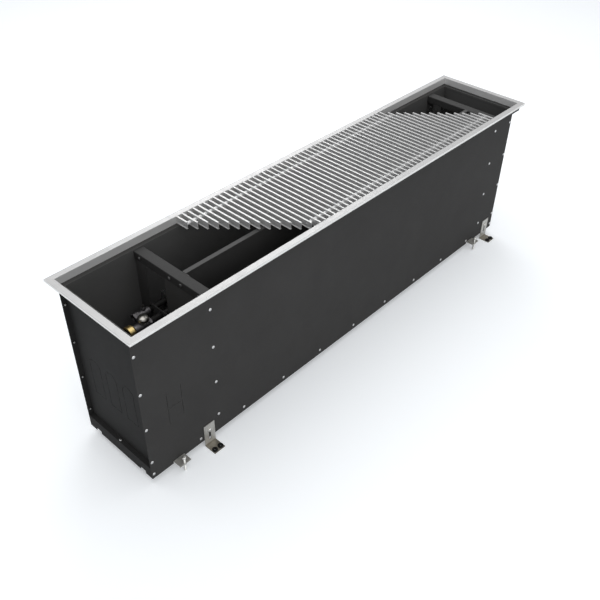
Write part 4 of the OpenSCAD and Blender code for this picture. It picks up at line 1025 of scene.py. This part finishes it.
def make_stage():
    """Pale floor, white surround and soft lamps."""
    shape = bmesh.new()
    bmesh.ops.create_grid(shape, x_segments=1, y_segments=1, size=14)
    floor = carrier_for(mesh_from(shape), "studio_floor")
    material, tree, shader = finish("pale_studio_floor")
    tone = blend(tree, noise(tree, object_place(tree), 1.5, 3.0), (0.885, 0.915, 0.945), (0.905, 0.93, 0.955))
    tree.links.new(tone, shader.inputs["Base Color"])
    shader.inputs["Roughness"].default_value = 0.7
    shader.inputs["Specular IOR Level"].default_value = 0.15
    seen = node(tree, "ShaderNodeLightPath")
    glow = node(tree, "ShaderNodeEmission", None, Color=(0.97, 0.985, 1, 1),
                Strength=sums(tree, "MULTIPLY", seen.outputs["Is Camera Ray"], 0.27))
    both = node(tree, "ShaderNodeAddShader", None, i0=shader.outputs[0], i1=glow.outputs[0])
    tree.links.new(both.outputs[0], tree.nodes["Material Output"].inputs["Surface"])
    floor.data.materials.append(material)

    world = bpy.data.worlds.new("white_surround")
    scene.world = world
    world.use_nodes = True
    tree = world.node_tree
    tree.nodes.clear()
    path = node(tree, "ShaderNodeLightPath")
    shown = sums(tree, "MAXIMUM", path.outputs["Is Camera Ray"], path.outputs["Is Glossy Ray"])
    shown = sums(tree, "MAXIMUM", shown, path.outputs["Is Transmission Ray"])
    lit = node(tree, "ShaderNodeBackground", None, Color=(0.98, 0.99, 1, 1), Strength=0.55)
    white = node(tree, "ShaderNodeBackground", None, Color=(1, 1, 1, 1), Strength=1.0)
    mix = node(tree, "ShaderNodeMixShader", None, Fac=shown, i1=lit.outputs[0], i2=white.outputs[0])
    node(tree, "ShaderNodeOutputWorld", None, Surface=mix.outputs[0])
    for name, place, width, depth, power in (("overhead", (-0.1, 0.5, 3.2), 3.4, 3.4, 42),
                                             ("front_fill", (-0.6, -3.4, 1.9), 2.4, 2.4, 29),
                                             ("back_strip", (1.68, 2.02, 2.3), 1.7, 0.5, 15)):
        lamp = bpy.data.lights.new(name, "AREA")
        lamp.shape = "RECTANGLE"
        lamp.size = width
        lamp.size_y = depth
        lamp.energy = power
        hung = bpy.data.objects.new(name, lamp)
        scene.collection.objects.link(hung)
        hung.location = place
        hung.rotation_euler = (Vector((0, 0, 0.25)) - Vector(place)).to_track_quat("-Z", "Y").to_euler()


def make_camera():
    """Camera fitted to the photograph's edges and rivets."""
    lens = bpy.data.cameras.new("photo_camera")
    lens.sensor_width = 36
    lens.lens = 45.560
    lens.clip_start = 0.05
    lens.dof.use_dof = False
    camera = bpy.data.objects.new("photo_camera", lens)
    scene.collection.objects.link(camera)
    right, down = (0.68068, -0.73249, 0.01116), (-0.46072, -0.43987, -0.77088)
    ahead, eye = (0.56957, 0.51958, -0.63689), (-1.32388, -1.11980, 1.48950)
    turn = Matrix((right, [-v for v in down], [-v for v in ahead])).transposed()
    camera.matrix_world = Matrix.Translation(eye) @ turn.to_4x4()
    scene.camera = camera


make_grille()
make_frame()
make_casing()
make_coil()
make_valves()
make_feet()
make_stage()
make_camera()
scene.view_settings.view_transform = "Standard"
